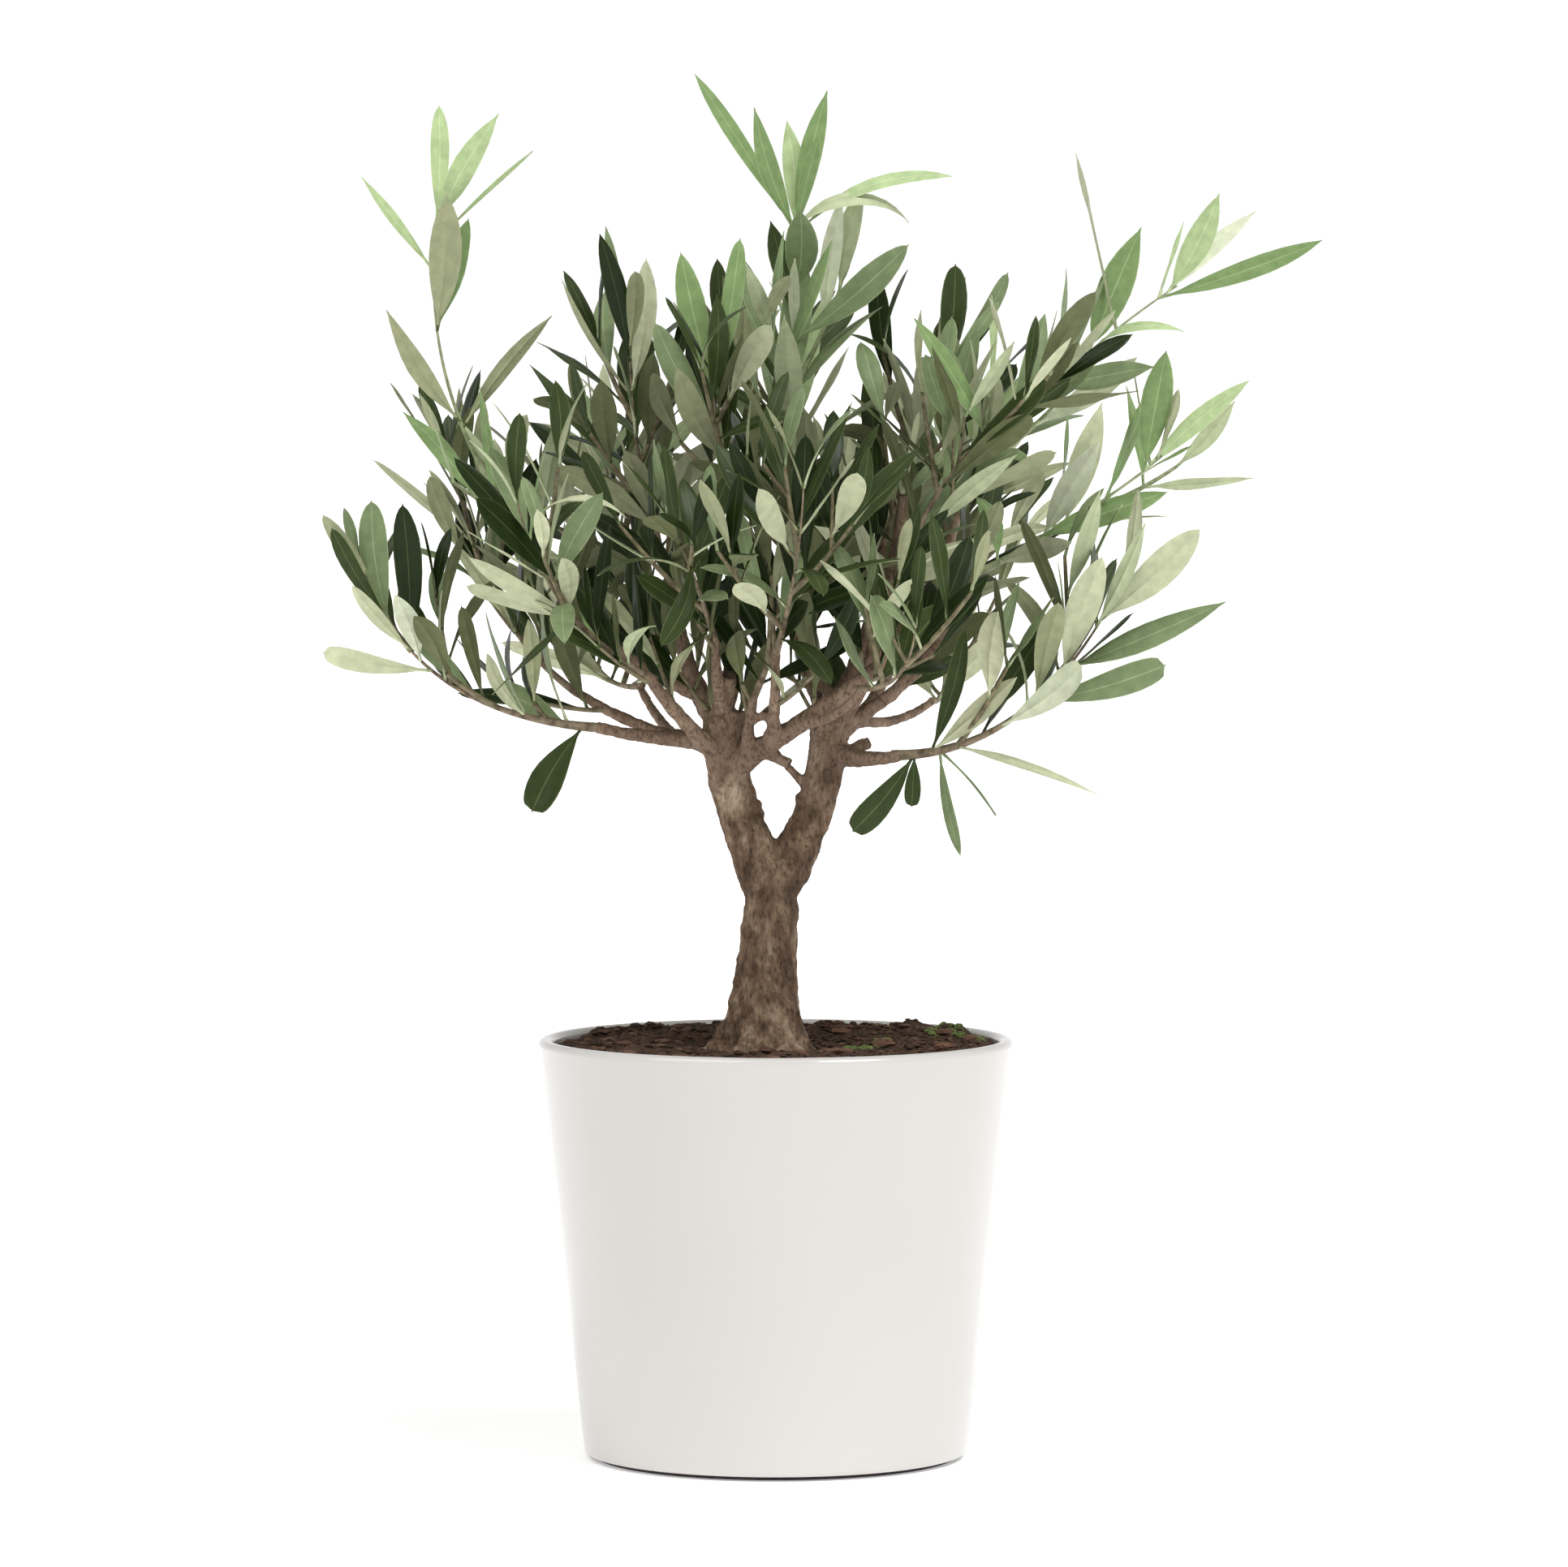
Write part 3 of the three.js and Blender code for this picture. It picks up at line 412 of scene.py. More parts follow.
class Curve:
    """A curve from start to end whose middle stands off the straight line by bow, measured by its length."""

    divisions = 100

    def __init__(self, start, end, bow=(0, 0, 0)):
        self.start = Vector(start)
        self.end = Vector(end)
        self.control = (self.start + self.end) / 2 + 2 * Vector(bow)
        self.turns = np.linspace(0, 1, self.divisions + 1)
        places = np.array([self.place(t) for t in self.turns])
        steps = np.linalg.norm(np.diff(places, axis=0), axis=1)
        self.lengths = np.concatenate([[0], np.cumsum(steps)])
        self.length = self.lengths[-1]

    def place(self, t):
        return self.start * (1 - t) ** 2 + self.control * (2 * t * (1 - t)) + self.end * t * t

    def turn_at(self, share):
        return float(np.interp(share * self.length, self.lengths, self.turns))

    def at(self, share):
        return self.place(self.turn_at(share))

    def along(self, share):
        t = self.turn_at(share)
        return ((self.control - self.start) * (1 - t) + (self.end - self.control) * t).normalized()


def ring_faces(rings, sides, first=0):
    """Faces between rings of points that follow each other, from the point numbered first."""
    faces = []
    for start in range(first, first + (rings - 1) * sides, sides):
        for j in range(sides):
            a, b = start + j, start + (j + 1) % sides
            faces.append((a, b, b + sides, a + sides))
    return faces


class MeshMaker:
    """Gathers points and faces from many small shapes and makes one mesh of them."""

    def __init__(self):
        self.points = []
        self.faces = []
        self.materials = []
        self.count = 0

    def add(self, points, faces, materials=None):
        self.points.append(np.asarray(points, dtype=np.float64))
        self.faces.extend([[i + self.count for i in face] for face in faces])
        self.materials.extend(materials if materials is not None else [0] * len(faces))
        self.count += len(points)

    def build(self, name, materials, sharp_degrees=40):
        mesh = bpy.data.meshes.new(name)
        mesh.from_pydata((np.concatenate(self.points) * MM).tolist(), [], self.faces)
        mesh.polygons.foreach_set("material_index", self.materials)
        mesh.update()
        return finish_piece(name, mesh, materials, sharp_degrees)


def linked(name, data):
    """A new object in the scene."""
    thing = bpy.data.objects.new(name, data)
    bpy.context.scene.collection.objects.link(thing)
    return thing


def finish_piece(name, mesh, materials, sharp_degrees=40):
    """Links a mesh as a piece that rides on the plant's body."""
    mesh.polygons.foreach_set("use_smooth", [True] * len(mesh.polygons))
    mesh.set_sharp_from_angle(angle=math.radians(sharp_degrees))
    for material in materials:
        mesh.materials.append(material)
    piece = linked(name, mesh)
    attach(piece, "root")
    return piece


# Materials


def feed(tree, value, socket):
    """Links a socket to another node's output, or sets its value. A colour gets its fourth number here."""
    if isinstance(value, bpy.types.NodeSocket):
        tree.links.new(value, socket)
    else:
        socket.default_value = (*value, 1) if socket.type == "RGBA" else value


def add_node(tree, kind, inputs, **settings):
    """The outputs of a new node, with its settings made and its inputs fed."""
    node = tree.nodes.new(f"ShaderNode{kind}")
    for name, value in settings.items():
        setattr(node, name, value)
    for socket, value in inputs.items():
        feed(tree, value, node.inputs[socket])
    return node.outputs


class Shader:
    """A Principled material with helpers for the few nodes that the surfaces need."""

    def __init__(self, name, color, roughness, **numbers):
        self.material = bpy.data.materials.new(name)
        self.material.use_nodes = True
        self.tree = self.material.node_tree
        self.set("Base Color", color)
        self.set("Roughness", roughness)
        for socket, value in numbers.items():
            self.set(socket.replace("_", " "), value)
        self.coordinates = add_node(self.tree, "TexCoord", {})["Object"]

    def set(self, socket, value):
        feed(self.tree, value, self.tree.nodes["Principled BSDF"].inputs[socket])

    def scaled(self, scale):
        return add_node(self.tree, "Mapping", {"Vector": self.coordinates, "Scale": scale})["Vector"]

    def noise(self, scale, detail=4, roughness=0.5, vector=None):
        inputs = {"Scale": scale, "Detail": detail, "Roughness": roughness}
        return add_node(self.tree, "TexNoise", {**inputs, "Vector": vector or self.coordinates})["Fac"]

    def attribute(self, name):
        return add_node(self.tree, "Attribute", {}, attribute_name=name)["Fac"]

    def ramp(self, factor, stops):
        node = self.tree.nodes.new("ShaderNodeValToRGB")
        elements = node.color_ramp.elements
        while len(elements) < len(stops):
            elements.new(1)
        for element, (place, color) in zip(elements, stops):
            element.position = place
            element.color = (*color, 1)
        feed(self.tree, factor, node.inputs["Fac"])
        return node.outputs["Color"]

    def blend(self, factor, first, second, mode="MIX"):
        inputs = {0: factor, 6: first, 7: second}
        return add_node(self.tree, "Mix", inputs, data_type="RGBA", blend_type=mode)[2]

    def spread(self, factor, low, high):
        return add_node(self.tree, "MapRange", {"Value": factor, "To Min": low, "To Max": high})["Result"]

    def bump(self, height, strength, distance):
        inputs = {"Strength": strength, "Distance": distance * MM, "Height": height}
        self.set("Normal", add_node(self.tree, "Bump", inputs)["Normal"])

    def grain(self, stops, strength, distance, **pattern):
        """Colours and roughens the whole surface by one pattern of noise."""
        specks = self.noise(**pattern)
        self.set("Base Color", self.ramp(specks, stops))
        self.bump(specks, strength, distance)
        return self.material


def glaze_material():
    glaze = Shader("off_white_glaze", (0.59, 0.57, 0.545), 0.16, Coat_Weight=0.35, Coat_Roughness=0.06)
    tones = [(0.3, (0.578, 0.556, 0.531)), (0.7, (0.6, 0.58, 0.557))]
    glaze.set("Base Color", glaze.ramp(glaze.noise(9, detail=2), tones))
    glaze.set("Roughness", glaze.spread(glaze.noise(40, detail=3), 0.12, 0.22))
    glaze.bump(glaze.noise(70, detail=2), 0.12, 0.4)
    return glaze.material


# Painted shade: the foot ring under the pot is coloured near black to stand in for the shadow in the gap
# beneath it.
def foot_painted_shade_material():
    tones = [(0.35, (0.02, 0.013, 0.015)), (0.65, (0.05, 0.034, 0.036))]
    return Shader("unglazed_foot", (0.03, 0.02, 0.022), 0.9).grain(tones, 0.3, 0.1, scale=350)


def bark_material():
    bark = Shader("grey_brown_bark", (0.16, 0.1, 0.065), 0.85, Specular_IOR_Level=0.2)
    lengthwise = bark.scaled((1, 1, 0.5))
    tones = [(0.34, (0.045, 0.026, 0.015)), (0.46, (0.15, 0.093, 0.057)), (0.55, (0.29, 0.2, 0.132)),
             (0.66, (0.52, 0.41, 0.31))]
    color = bark.ramp(bark.noise(95, detail=6, roughness=0.65, vector=lengthwise), tones)
    young = bark.spread(bark.attribute("slenderness"), 0.15, 0.66)
    color = bark.blend(young, color, (0.33, 0.235, 0.175))
    grain = bark.noise(700, detail=5, roughness=0.75, vector=lengthwise)
    # The fine grain darkens the bark where its bump is low: the crevices' own darker tone together with
    # painted shade in the hollows.
    crack_tone_and_shade = bark.ramp(grain, [(0.33, (0.2, 0.16, 0.13)), (0.5, (0.8, 0.78, 0.75)), (0.65, (1, 1, 1))])
    bark.set("Base Color", bark.blend(0.95, color, crack_tone_and_shade, "MULTIPLY"))
    bark.set("Roughness", bark.spread(grain, 0.7, 0.95))
    bark.bump(grain, 0.9, 0.6)
    return bark.material


def cut_wood_material():
    tones = [(0.35, (0.035, 0.02, 0.013)), (0.65, (0.15, 0.1, 0.066))]
    return Shader("weathered_cut_wood", (0.09, 0.06, 0.04), 0.85).grain(tones, 0.4, 0.2, scale=300)


def twig_material(name, dark, pale):
    twig = Shader(name, pale, 0.65, Specular_IOR_Level=0.25)
    return twig.grain([(0.36, dark), (0.6, pale)], 0.4, 0.15, scale=260, roughness=0.6)


def soil_material(name, dark, pale, pitch):
    soil = Shader(name, dark, 0.95, Specular_IOR_Level=0.25)
    return soil.grain([(0.35, dark), (0.68, pale)], 1, 0.8, scale=pitch, detail=8, roughness=0.7)


# Kinds of leaf: colours of the upper side, midrib and underside, and the upper side's roughness. They are
# partly the leaves' own range of colour and partly painted light: the darkest kind is darkened as painted
# shade, the silvery kind is lightened as painted sheen, and the young and fresh kinds are partly brightened
# as painted light shining through them.
LEAF_KINDS = {
    "dark": ((0.014, 0.0255, 0.0055), (0.046, 0.07, 0.02), (0.145, 0.16, 0.075), 0.3),
    "mature": ((0.038, 0.057, 0.0165), (0.098, 0.128, 0.044), (0.34, 0.362, 0.21), 0.34),
    "silver": ((0.19, 0.25, 0.122), (0.305, 0.36, 0.195), (0.545, 0.572, 0.375), 0.4),
    "fresh": ((0.2, 0.295, 0.118), (0.315, 0.41, 0.2), (0.48, 0.535, 0.33), 0.38),
    "young": ((0.43, 0.55, 0.28), (0.55, 0.66, 0.39), (0.66, 0.7, 0.51), 0.42),
}

# What each kind of spray bears: shares of the kinds of leaf. Deep sprays, inside the crown, bear mostly the
# darkest leaves as painted shade; pale and young sprays, at the top, bear the brightest leaves, partly young
# leaves' own lighter colour and partly painted light shining through them.
TINTS = {
    "deep": {"dark": 0.8, "mature": 0.2},
    "mature": {"mature": 0.4, "dark": 0.32, "silver": 0.28},
    "silver": {"silver": 0.4, "mature": 0.27, "dark": 0.21, "fresh": 0.12},
    "pale": {"fresh": 0.5, "silver": 0.32, "young": 0.18},
    "young": {"young": 0.5, "fresh": 0.3, "silver": 0.2},
}


# A leaf's colour varies by these factors from one place on the ramp to another, and its roughness so far
MOTTLE = [(0.35, 0.9), (0.65, 1.1)]
GLOSS = (-0.06, 0.08)


def leaf_material(name, color, roughness, **numbers):
    """A leaf's skin: mottled a little lighter and darker, and glossier in places."""
    skin = Shader(name, color, roughness, **numbers)
    stops = [(place, tuple(tone * c for c in color)) for place, tone in MOTTLE]
    skin.set("Base Color", skin.ramp(skin.noise(240), stops))
    skin.set("Roughness", skin.spread(skin.noise(90, detail=1), *(roughness + more for more in GLOSS)))
    return skin.material


def leaf_materials(kind, upper, rib, under, roughness):
    return [
        leaf_material(f"{kind}_leaf_upper", upper, roughness, Specular_IOR_Level=0.15),
        leaf_material(f"{kind}_leaf_rib", rib, 0.5, Specular_IOR_Level=0.2),
        leaf_material(f"{kind}_leaf_under", under, 0.6, Specular_IOR_Level=0.2),
    ]


# Pot and soil


def inner_radius(height):
    return mix(POT["shoulder_radius"], POT["rim_radius"], height / POT["height"]) - POT["wall"]


def arc(x, z, radius, first, last, steps):
    turns = [math.radians(mix(first, last, i / steps)) for i in range(steps + 1)]
    return [(x + radius * math.cos(t), z + radius * math.sin(t)) for t in turns]


def turned(profile, sides):
    """Points and faces of a profile turned about Z. Its first and last points lie on the axis."""
    points = [(0, 0, profile[0][1])]
    for radius, height in profile[1:-1]:
        for j in range(sides):
            turn = 2 * math.pi * j / sides
            points.append((radius * math.cos(turn), radius * math.sin(turn), height))
    points.append((0, 0, profile[-1][1]))
    last = len(points) - 1
    faces = ring_faces(len(profile) - 2, sides, first=1)
    for j in range(sides):
        k = (j + 1) % sides
        faces += [(0, 1 + k, 1 + j), (last, last - sides + j, last - sides + k)]
    return points, faces


def make_pot():
    lip, corner, bevel = POT["lip_radius"], POT["corner_radius"], POT["foot_bevel"]
    lip_height = POT["height"] - lip
    hollow_corner = POT["floor"] + POT["cove"]
    profile = [
        (0, 0),
        (POT["foot_radius"] - bevel, 0),
        (POT["foot_radius"], bevel),
        (POT["foot_radius"], POT["foot_height"]),
        *arc(POT["shoulder_radius"] - corner, POT["foot_height"] + corner, corner, -90, 0, 8),
        *arc(POT["rim_radius"] - lip, lip_height, lip, 0, 90, 10),
        *arc(POT["rim_radius"] - POT["wall"] + lip, lip_height, lip, 90, 180, 10),
        (inner_radius(hollow_corner), hollow_corner),
        (inner_radius(POT["floor"]) - POT["cove"], POT["floor"]),
        (0, POT["floor"]),
    ]
    points, faces = turned(profile, POT["sides"])
    # Faces no higher than the foot take the second material, the painted shade of the gap under the pot.
    foot = [int(max(points[i][2] for i in face) <= POT["foot_height"]) for face in faces]
    maker = MeshMaker()
    maker.add(points, faces, foot)
    pot = maker.build("glazed_pot", [glaze_material(), foot_painted_shade_material()], sharp_degrees=50)
    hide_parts("pot")


def soil_height(x, y):
    """Height of the compost's surface: the solid's lumps with finer ones on top."""
    fade = smoothstep(math.hypot(x, y), SOIL["seat_radius"], SOIL["seat_radius"] + SOIL["fade"])
    waves = [math.sin(x * across + y * back + phase) for across, back, phase in SOIL["waves"]]
    lumps = SOIL["lump"] * fade * sum(waves) / len(waves)
    place = Vector((x, y, 0))
    rough = sum(layered_noise(place * pitch, layers) * high for pitch, layers, high in SOIL["rough"])
    heaped = SOIL["crown"]
    for heap_x, heap_y, reach, height in SOIL["heaps"]:
        heaped += height * math.exp(-((x - heap_x) ** 2 + (y - heap_y) ** 2) / reach ** 2)
    return SOIL_LEVEL + lumps + rough + fade * heaped


def make_soil():
    edge = inner_radius(SOIL_LEVEL) - SOIL["off_wall"]
    strip, sink = SOIL["edge"]
    bottom = SOIL_LEVEL - SOIL["depth"]
    rings = SOIL["rings"]
    surface = [(edge * i / rings, SOIL_LEVEL) for i in range(rings, -1, -1)]
    points, faces = turned([(0, bottom), (SOIL["taper"] * edge, bottom), *surface], SOIL["sides"])
    for i, (x, y, z) in enumerate(points):
        if z > bottom:
            points[i] = (x, y, soil_height(x, y) - sink * smoothstep(math.hypot(x, y), edge - strip, edge))
    maker = MeshMaker()
    maker.add(points, faces)
    dark, brown = (0.028, 0.016, 0.01), (0.105, 0.062, 0.038)
    soil = maker.build("compost", [soil_material("damp_compost", dark, brown, 180)], sharp_degrees=180)
    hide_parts("soil")


def lump_shape():
    """Points and faces of a regular solid with twenty faces, the start of every crumb."""
    golden = (1 + math.sqrt(5)) / 2
    points = []
    for a in (-1, 1):
        for b in (-golden, golden):
            points += [(0, a, b), (a, b, 0), (b, 0, a)]
    points = [Vector(p).normalized() for p in points]
    near = 2 * math.sin(0.5 * math.atan(2)) + 0.01
    faces = []
    for i, j, k in combinations(range(len(points)), 3):
        a, b, c = points[i], points[j], points[k]
        if max((a - b).length, (b - c).length, (c - a).length) < near:
            outward = (b - a).cross(c - a).dot(a) > 0
            faces.append((i, j, k) if outward else (i, k, j))
    return points, faces


def scatter_crumbs(name, seed, count, sizes, flat, raised, tones):
    """Crumbs strewn over the compost, evenly or within round areas."""
    dice = Dice(seed)
    points, faces = lump_shape()
    edge = inner_radius(SOIL_LEVEL) - CRUMBS["off_wall"]
    areas = CRUMBS["areas"].get(name, [(0, 0, edge)])
    jag_pitch, jag_height = CRUMBS["jags"]
    maker = MeshMaker()
    for i in range(count):
        x0, y0, reach = areas[i % len(areas)]
        turn = dice.between(0, 2 * math.pi)
        away = reach * math.sqrt(dice.roll())
        x, y = x0 + away * math.cos(turn), y0 + away * math.sin(turn)
        size = sizes[0] * (sizes[1] / sizes[0]) ** (dice.roll() ** 2)
        off_trunk = math.hypot(x - TRUNK["foot"][0], y - TRUNK["foot"][1])
        if math.hypot(x, y) > edge - size or off_trunk < CRUMBS["off_trunk"]:
            continue
        wide, deep = dice.between(*CRUMBS["stretch"]), dice.between(*CRUMBS["stretch"])
        high = flat * dice.between(*CRUMBS["flatness"])
        spin = Matrix.Rotation(dice.between(0, 2 * math.pi), 3, "Z")
        centre = Vector((x, y, soil_height(x, y) + size * flat * raised))
        crumb = []
        for p in points:
            jag = size * (1 + jag_height * noise.noise(p * jag_pitch + centre))
            crumb.append(centre + spin @ Vector((p.x * wide, p.y * deep, p.z * high)) * jag)
        maker.add(crumb, faces)
    piece = maker.build(name, [soil_material(*tones)])


# Limbs


class Limb:
    def __init__(self, name, curve, radius_at, parent_radius=0.0):
        self.name = name
        self.curve = curve
        self.radius_at = radius_at
        self.parent_radius = parent_radius


def tapered(first, last):
    """A radius that changes evenly up a limb and is the same all round it."""
    return lambda share, angle=None: mix(first, last, share)


def grow_limbs():
    curve = Curve((*TRUNK["foot"], SOIL_LEVEL + GAP), TRUNK["top"], TRUNK["bow"])

    def trunk_radius(share, angle=None):
        taper = mix(TRUNK["foot_radius"], TRUNK["top_radius"], share)
        flare = TRUNK["flare"] * math.exp(-share * curve.length / TRUNK["flare_height"])
        ribs = 0 if angle is None else sum(d * math.sin(n * angle + s) for n, d, s in TRUNK["ribs"])
        return taper + flare * (1 + ribs)

    limbs = {"trunk": Limb("trunk", curve, trunk_radius)}
    for name, parent, at, end, bow, radius in LIMBS:
        start = limbs[parent].curve.at(at)
        parent_radius = limbs[parent].radius_at(at)
        limbs[name] = Limb(name, Curve(start, end, bow), tapered(*radius), parent_radius)
    return limbs


SEAM = Vector((0.31, 0.95, 0.05))  # no limb heads this way, so each tube's first point can be set off from it


def tube(curve, radius_at, sides, steps, first=0.0, last=1.0):
    """Points and faces of a closed round tube along a curve, its cross-sections carried without twist."""
    points = []
    side = None
    for i in range(steps + 1):
        share = mix(first, last, i / steps)
        inside = min(max(share, 0), 1)
        along = curve.along(inside)
        centre = curve.at(inside) + along * ((share - inside) * curve.length)
        if side is None:
            side = along.cross(SEAM).normalized()
        side = (side - along * side.dot(along)).normalized()
        across = along.cross(side)
        for j in range(sides):
            angle = 2 * math.pi * j / sides
            points.append(centre + swung(side, across, angle) * radius_at(share, angle))
    caps = [tuple(range(sides - 1, -1, -1)), tuple(range(steps * sides, (steps + 1) * sides))]
    return points, caps + ring_faces(steps + 1, sides)


BARK = {
    "voxel": 0.72,
    "smoothing": (0.5, 4),
    "sides": 20,
    "step": 2.5,
    "sampling": 2,  # distance between the places where a limb's radius is looked up
    "sunk": 0.06,  # share of the trunk's length that goes on below the soil's surface
    "collar": (0.45, 1.3),  # swelling where a limb leaves its parent, and its reach in radii
    "relief": (0.11, 0.8),  # depth of the relief: a factor and a power of the limb's radius
    "lumps": (0.16, 1.6),  # pitch and weight
    "streaks": (0.42, 0.13, 1.3),  # pitch across and up, and weight
    "slender": (6, 3),  # radii at which the bark starts and ends growing paler
    "evening": 40,
    "cut": {"width": 0.8, "proud": 0.25, "bevel": 0.12},  # the face of a sawn end
    "nubs": {"gap": 15, "first": 0.8, "stray": 90, "sizes": (0.35, 0.6), "off": 0.75},  # small swellings
    "stubs": [  # limb, share, angle and lean off the limb in degrees, length and radius
        ("left_stem", 0.97, 250, 25, 12, 3.6),
        ("left_stem", 0.98, 96, 35, 10, 3.3),
        ("right_stem", 0.95, 60, 50, 6, 2.8),
        ("cross_bough", 0.2, 200, 60, 9, 2.2),
        ("cross_bough", 0.34, 20, 70, 8.5, 2.4),
        ("inner_front_bough", 0.62, 160, 55, 5.5, 1.5),
        ("right_stem", 0.97, 300, 30, 8, 3),
        ("right_stem", 0.72, 190, 55, 11, 2.4),
    ],
    "knots": [  # limb, share, angle in degrees, size and stand-off as shares of its radius
        ("left_stem", 0.8, 200, 0.75, 0.7),
        ("left_stem", 0.93, 60, 0.8, 0.6),
        ("left_stem", 0.45, 150, 0.45, 0.85),
        ("right_stem", 0.5, 20, 0.5, 0.8),
        ("right_stem", 0.8, 300, 0.6, 0.7),
        ("right_stem", 0.95, 120, 0.7, 0.6),
        ("trunk", 0.55, 250, 0.4, 0.85),
        ("trunk", 0.75, 80, 0.45, 0.8),
        ("trunk", 0.32, 320, 0.35, 0.9),
        ("cross_bough", 0.3, 250, 0.8, 0.6),
        ("cross_bough", 0.5, 80, 0.7, 0.6),
        ("left_low_bough", 0.5, 90, 0.7, 0.6),
        ("right_low_bough", 0.4, 100, 0.7, 0.6),
    ],
}


def make_cut_faces(stubs):
    """Bare wood where limbs were sawn off."""
    cut = BARK["cut"]
    maker = MeshMaker()
    for limb in stubs:
        radius = cut["width"] * limb.radius_at(1)
        end, along = limb.curve.at(1), limb.curve.along(1)
        face = Curve(end - along, end + along * cut["proud"])
        maker.add(*tube(face, lambda share, angle: radius * (1 - cut["bevel"] * (share == 1)), 16, 4))
    cuts = maker.build("cut_faces", [cut_wood_material()])


def heading_off(limb, share, degrees):
    """The way along a limb at a share of its length, and the way out of its side at an angle."""
    along = limb.curve.along(share)
    side = along.cross(Vector((0, 1, 0))).normalized()
    return along, swung(side, along.cross(side), math.radians(degrees))


def knot(limb, share, degrees, size, off):
    """A rounded lump on a limb, where a shoot was once cut."""
    radius = limb.radius_at(share)
    _, out = heading_off(limb, share, degrees)
    centre = limb.curve.at(share) + out * (radius * off)
    points, faces = lump_shape()
    return [centre + p * (radius * size) for p in points], faces


def stub(limb, share, degrees, lean, length, radius):
    """A short limb that was sawn off, starting on another limb's axis."""
    along, out = heading_off(limb, share, degrees)
    root = limb.curve.at(share)
    end = root + swung(along, out, math.radians(lean)) * (limb.radius_at(share) + length)
    return Limb("stub", Curve(root, end), tapered(radius, radius))


def evened(values, mesh, rounds):
    """One value a vertex, averaged with its neighbours' again and again."""
    ends = np.empty(len(mesh.edges) * 2, dtype=np.int32)
    mesh.edges.foreach_get("vertices", ends)
    a, b = ends.reshape(-1, 2).T
    count = len(values)
    links = np.bincount(a, minlength=count) + np.bincount(b, minlength=count)
    for _ in range(rounds):
        values = (values + np.bincount(a, values[b], count) + np.bincount(b, values[a], count)) / (1 + links)
    return values


def limb_tube(limb):
    """A limb's tube, swollen where it leaves its parent."""
    length = limb.curve.length
    swelling, reach = BARK["collar"] if limb.parent_radius else (0, 1)

    def swollen(share, angle):
        radius = limb.radius_at(share, angle)
        away = max(share * length - limb.parent_radius, 0)
        return radius * (1 + swelling * math.exp(-away / (reach * radius)))

    first = -BARK["sunk"] if limb.name == "trunk" else 0
    return tube(limb.curve, swollen, BARK["sides"], max(6, round(length / BARK["step"])), first=first)


def merged_limbs(limbs, all_limbs):
    """One smooth skin over all limbs, their knots and their nubs."""
    maker = MeshMaker()
    for limb in all_limbs:
        maker.add(*limb_tube(limb))
    for name, *place in BARK["knots"]:
        maker.add(*knot(limbs[name], *place))
    nubs = BARK["nubs"]
    dice = Dice(nubs["gap"])
    for limb in list(limbs.values())[1:]:
        for i in range(int(limb.curve.length / nubs["gap"])):
            share = (i + nubs["first"]) * nubs["gap"] / limb.curve.length
            turn = math.degrees(i * TWIG["golden_angle"]) + dice.between(0, nubs["stray"])
            maker.add(*knot(limb, share, turn, dice.between(*nubs["sizes"]), nubs["off"]))

    rough = bpy.data.meshes.new("limb_tubes")
    rough.from_pydata((np.concatenate(maker.points) * MM).tolist(), [], maker.faces)
    tubes = linked("limb_tubes", rough)
    remesh = tubes.modifiers.new("remesh", "REMESH")
    remesh.mode = "VOXEL"
    remesh.voxel_size = BARK["voxel"] * MM
    smooth = tubes.modifiers.new("smooth", "SMOOTH")
    smooth.factor, smooth.iterations = BARK["smoothing"]
    graph = bpy.context.evaluated_depsgraph_get()
    mesh = bpy.data.meshes.new_from_object(tubes.evaluated_get(graph))
    bpy.data.objects.remove(tubes)
    bpy.data.meshes.remove(rough)
    return mesh


def give_relief(mesh, all_limbs):
    """Raises lumps and lengthwise streaks on the bark, deeper on thick limbs, and marks the slender ones."""
    samples = []
    for limb in all_limbs:
        count = max(4, round(limb.curve.length / BARK["sampling"]))
        samples += [(limb.curve.at(i / count), limb.radius_at(i / count)) for i in range(count + 1)]
    tree = kdtree.KDTree(len(samples))
    for i, (place, _) in enumerate(samples):
        tree.insert(place, i)
    tree.balance()

    count = len(mesh.vertices)
    places, normals = np.empty((count, 3)), np.empty((count, 3))
    mesh.vertices.foreach_get("co", places.ravel())
    mesh.vertex_normals.foreach_get("vector", normals.ravel())
    slenderness = np.empty(count)
    depth, power = BARK["relief"]
    lump_pitch, lump_weight = BARK["lumps"]
    across, up, streak_weight = BARK["streaks"]
    for i in range(count):
        p = Vector(places[i]) / MM
        radius = samples[tree.find(p)[1]][1]
        slenderness[i] = smoothstep(radius, *BARK["slender"])
        lumps = noise.noise(p * lump_pitch)
        streaks = layered_noise(Vector((p.x * across, p.y * across, p.z * up)), 3, falloff=0.9)
        relief = lump_weight * lumps + streak_weight * streaks
        places[i] += normals[i] * (depth * radius ** power * relief * MM)
    mesh.vertices.foreach_set("co", places.ravel())
    slenderness = evened(slenderness, mesh, BARK["evening"])
    mesh.attributes.new("slenderness", "FLOAT", "POINT").data.foreach_set("value", slenderness)
    mesh.update()


def make_bark(limbs, cut_shoots):
    """One mesh for trunk, stems and boughs, and the cut faces of those that were sawn off."""
    stubs = [stub(limbs[name], *place) for name, *place in BARK["stubs"]]
    make_cut_faces([*stubs, *cut_shoots])
    all_limbs = [*limbs.values(), *cut_shoots, *stubs]
    mesh = merged_limbs(limbs, all_limbs)
    give_relief(mesh, all_limbs)
    bark = finish_piece("bark", mesh, [bark_material()], sharp_degrees=180)
    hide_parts(*limbs)


# Shoots and leaves


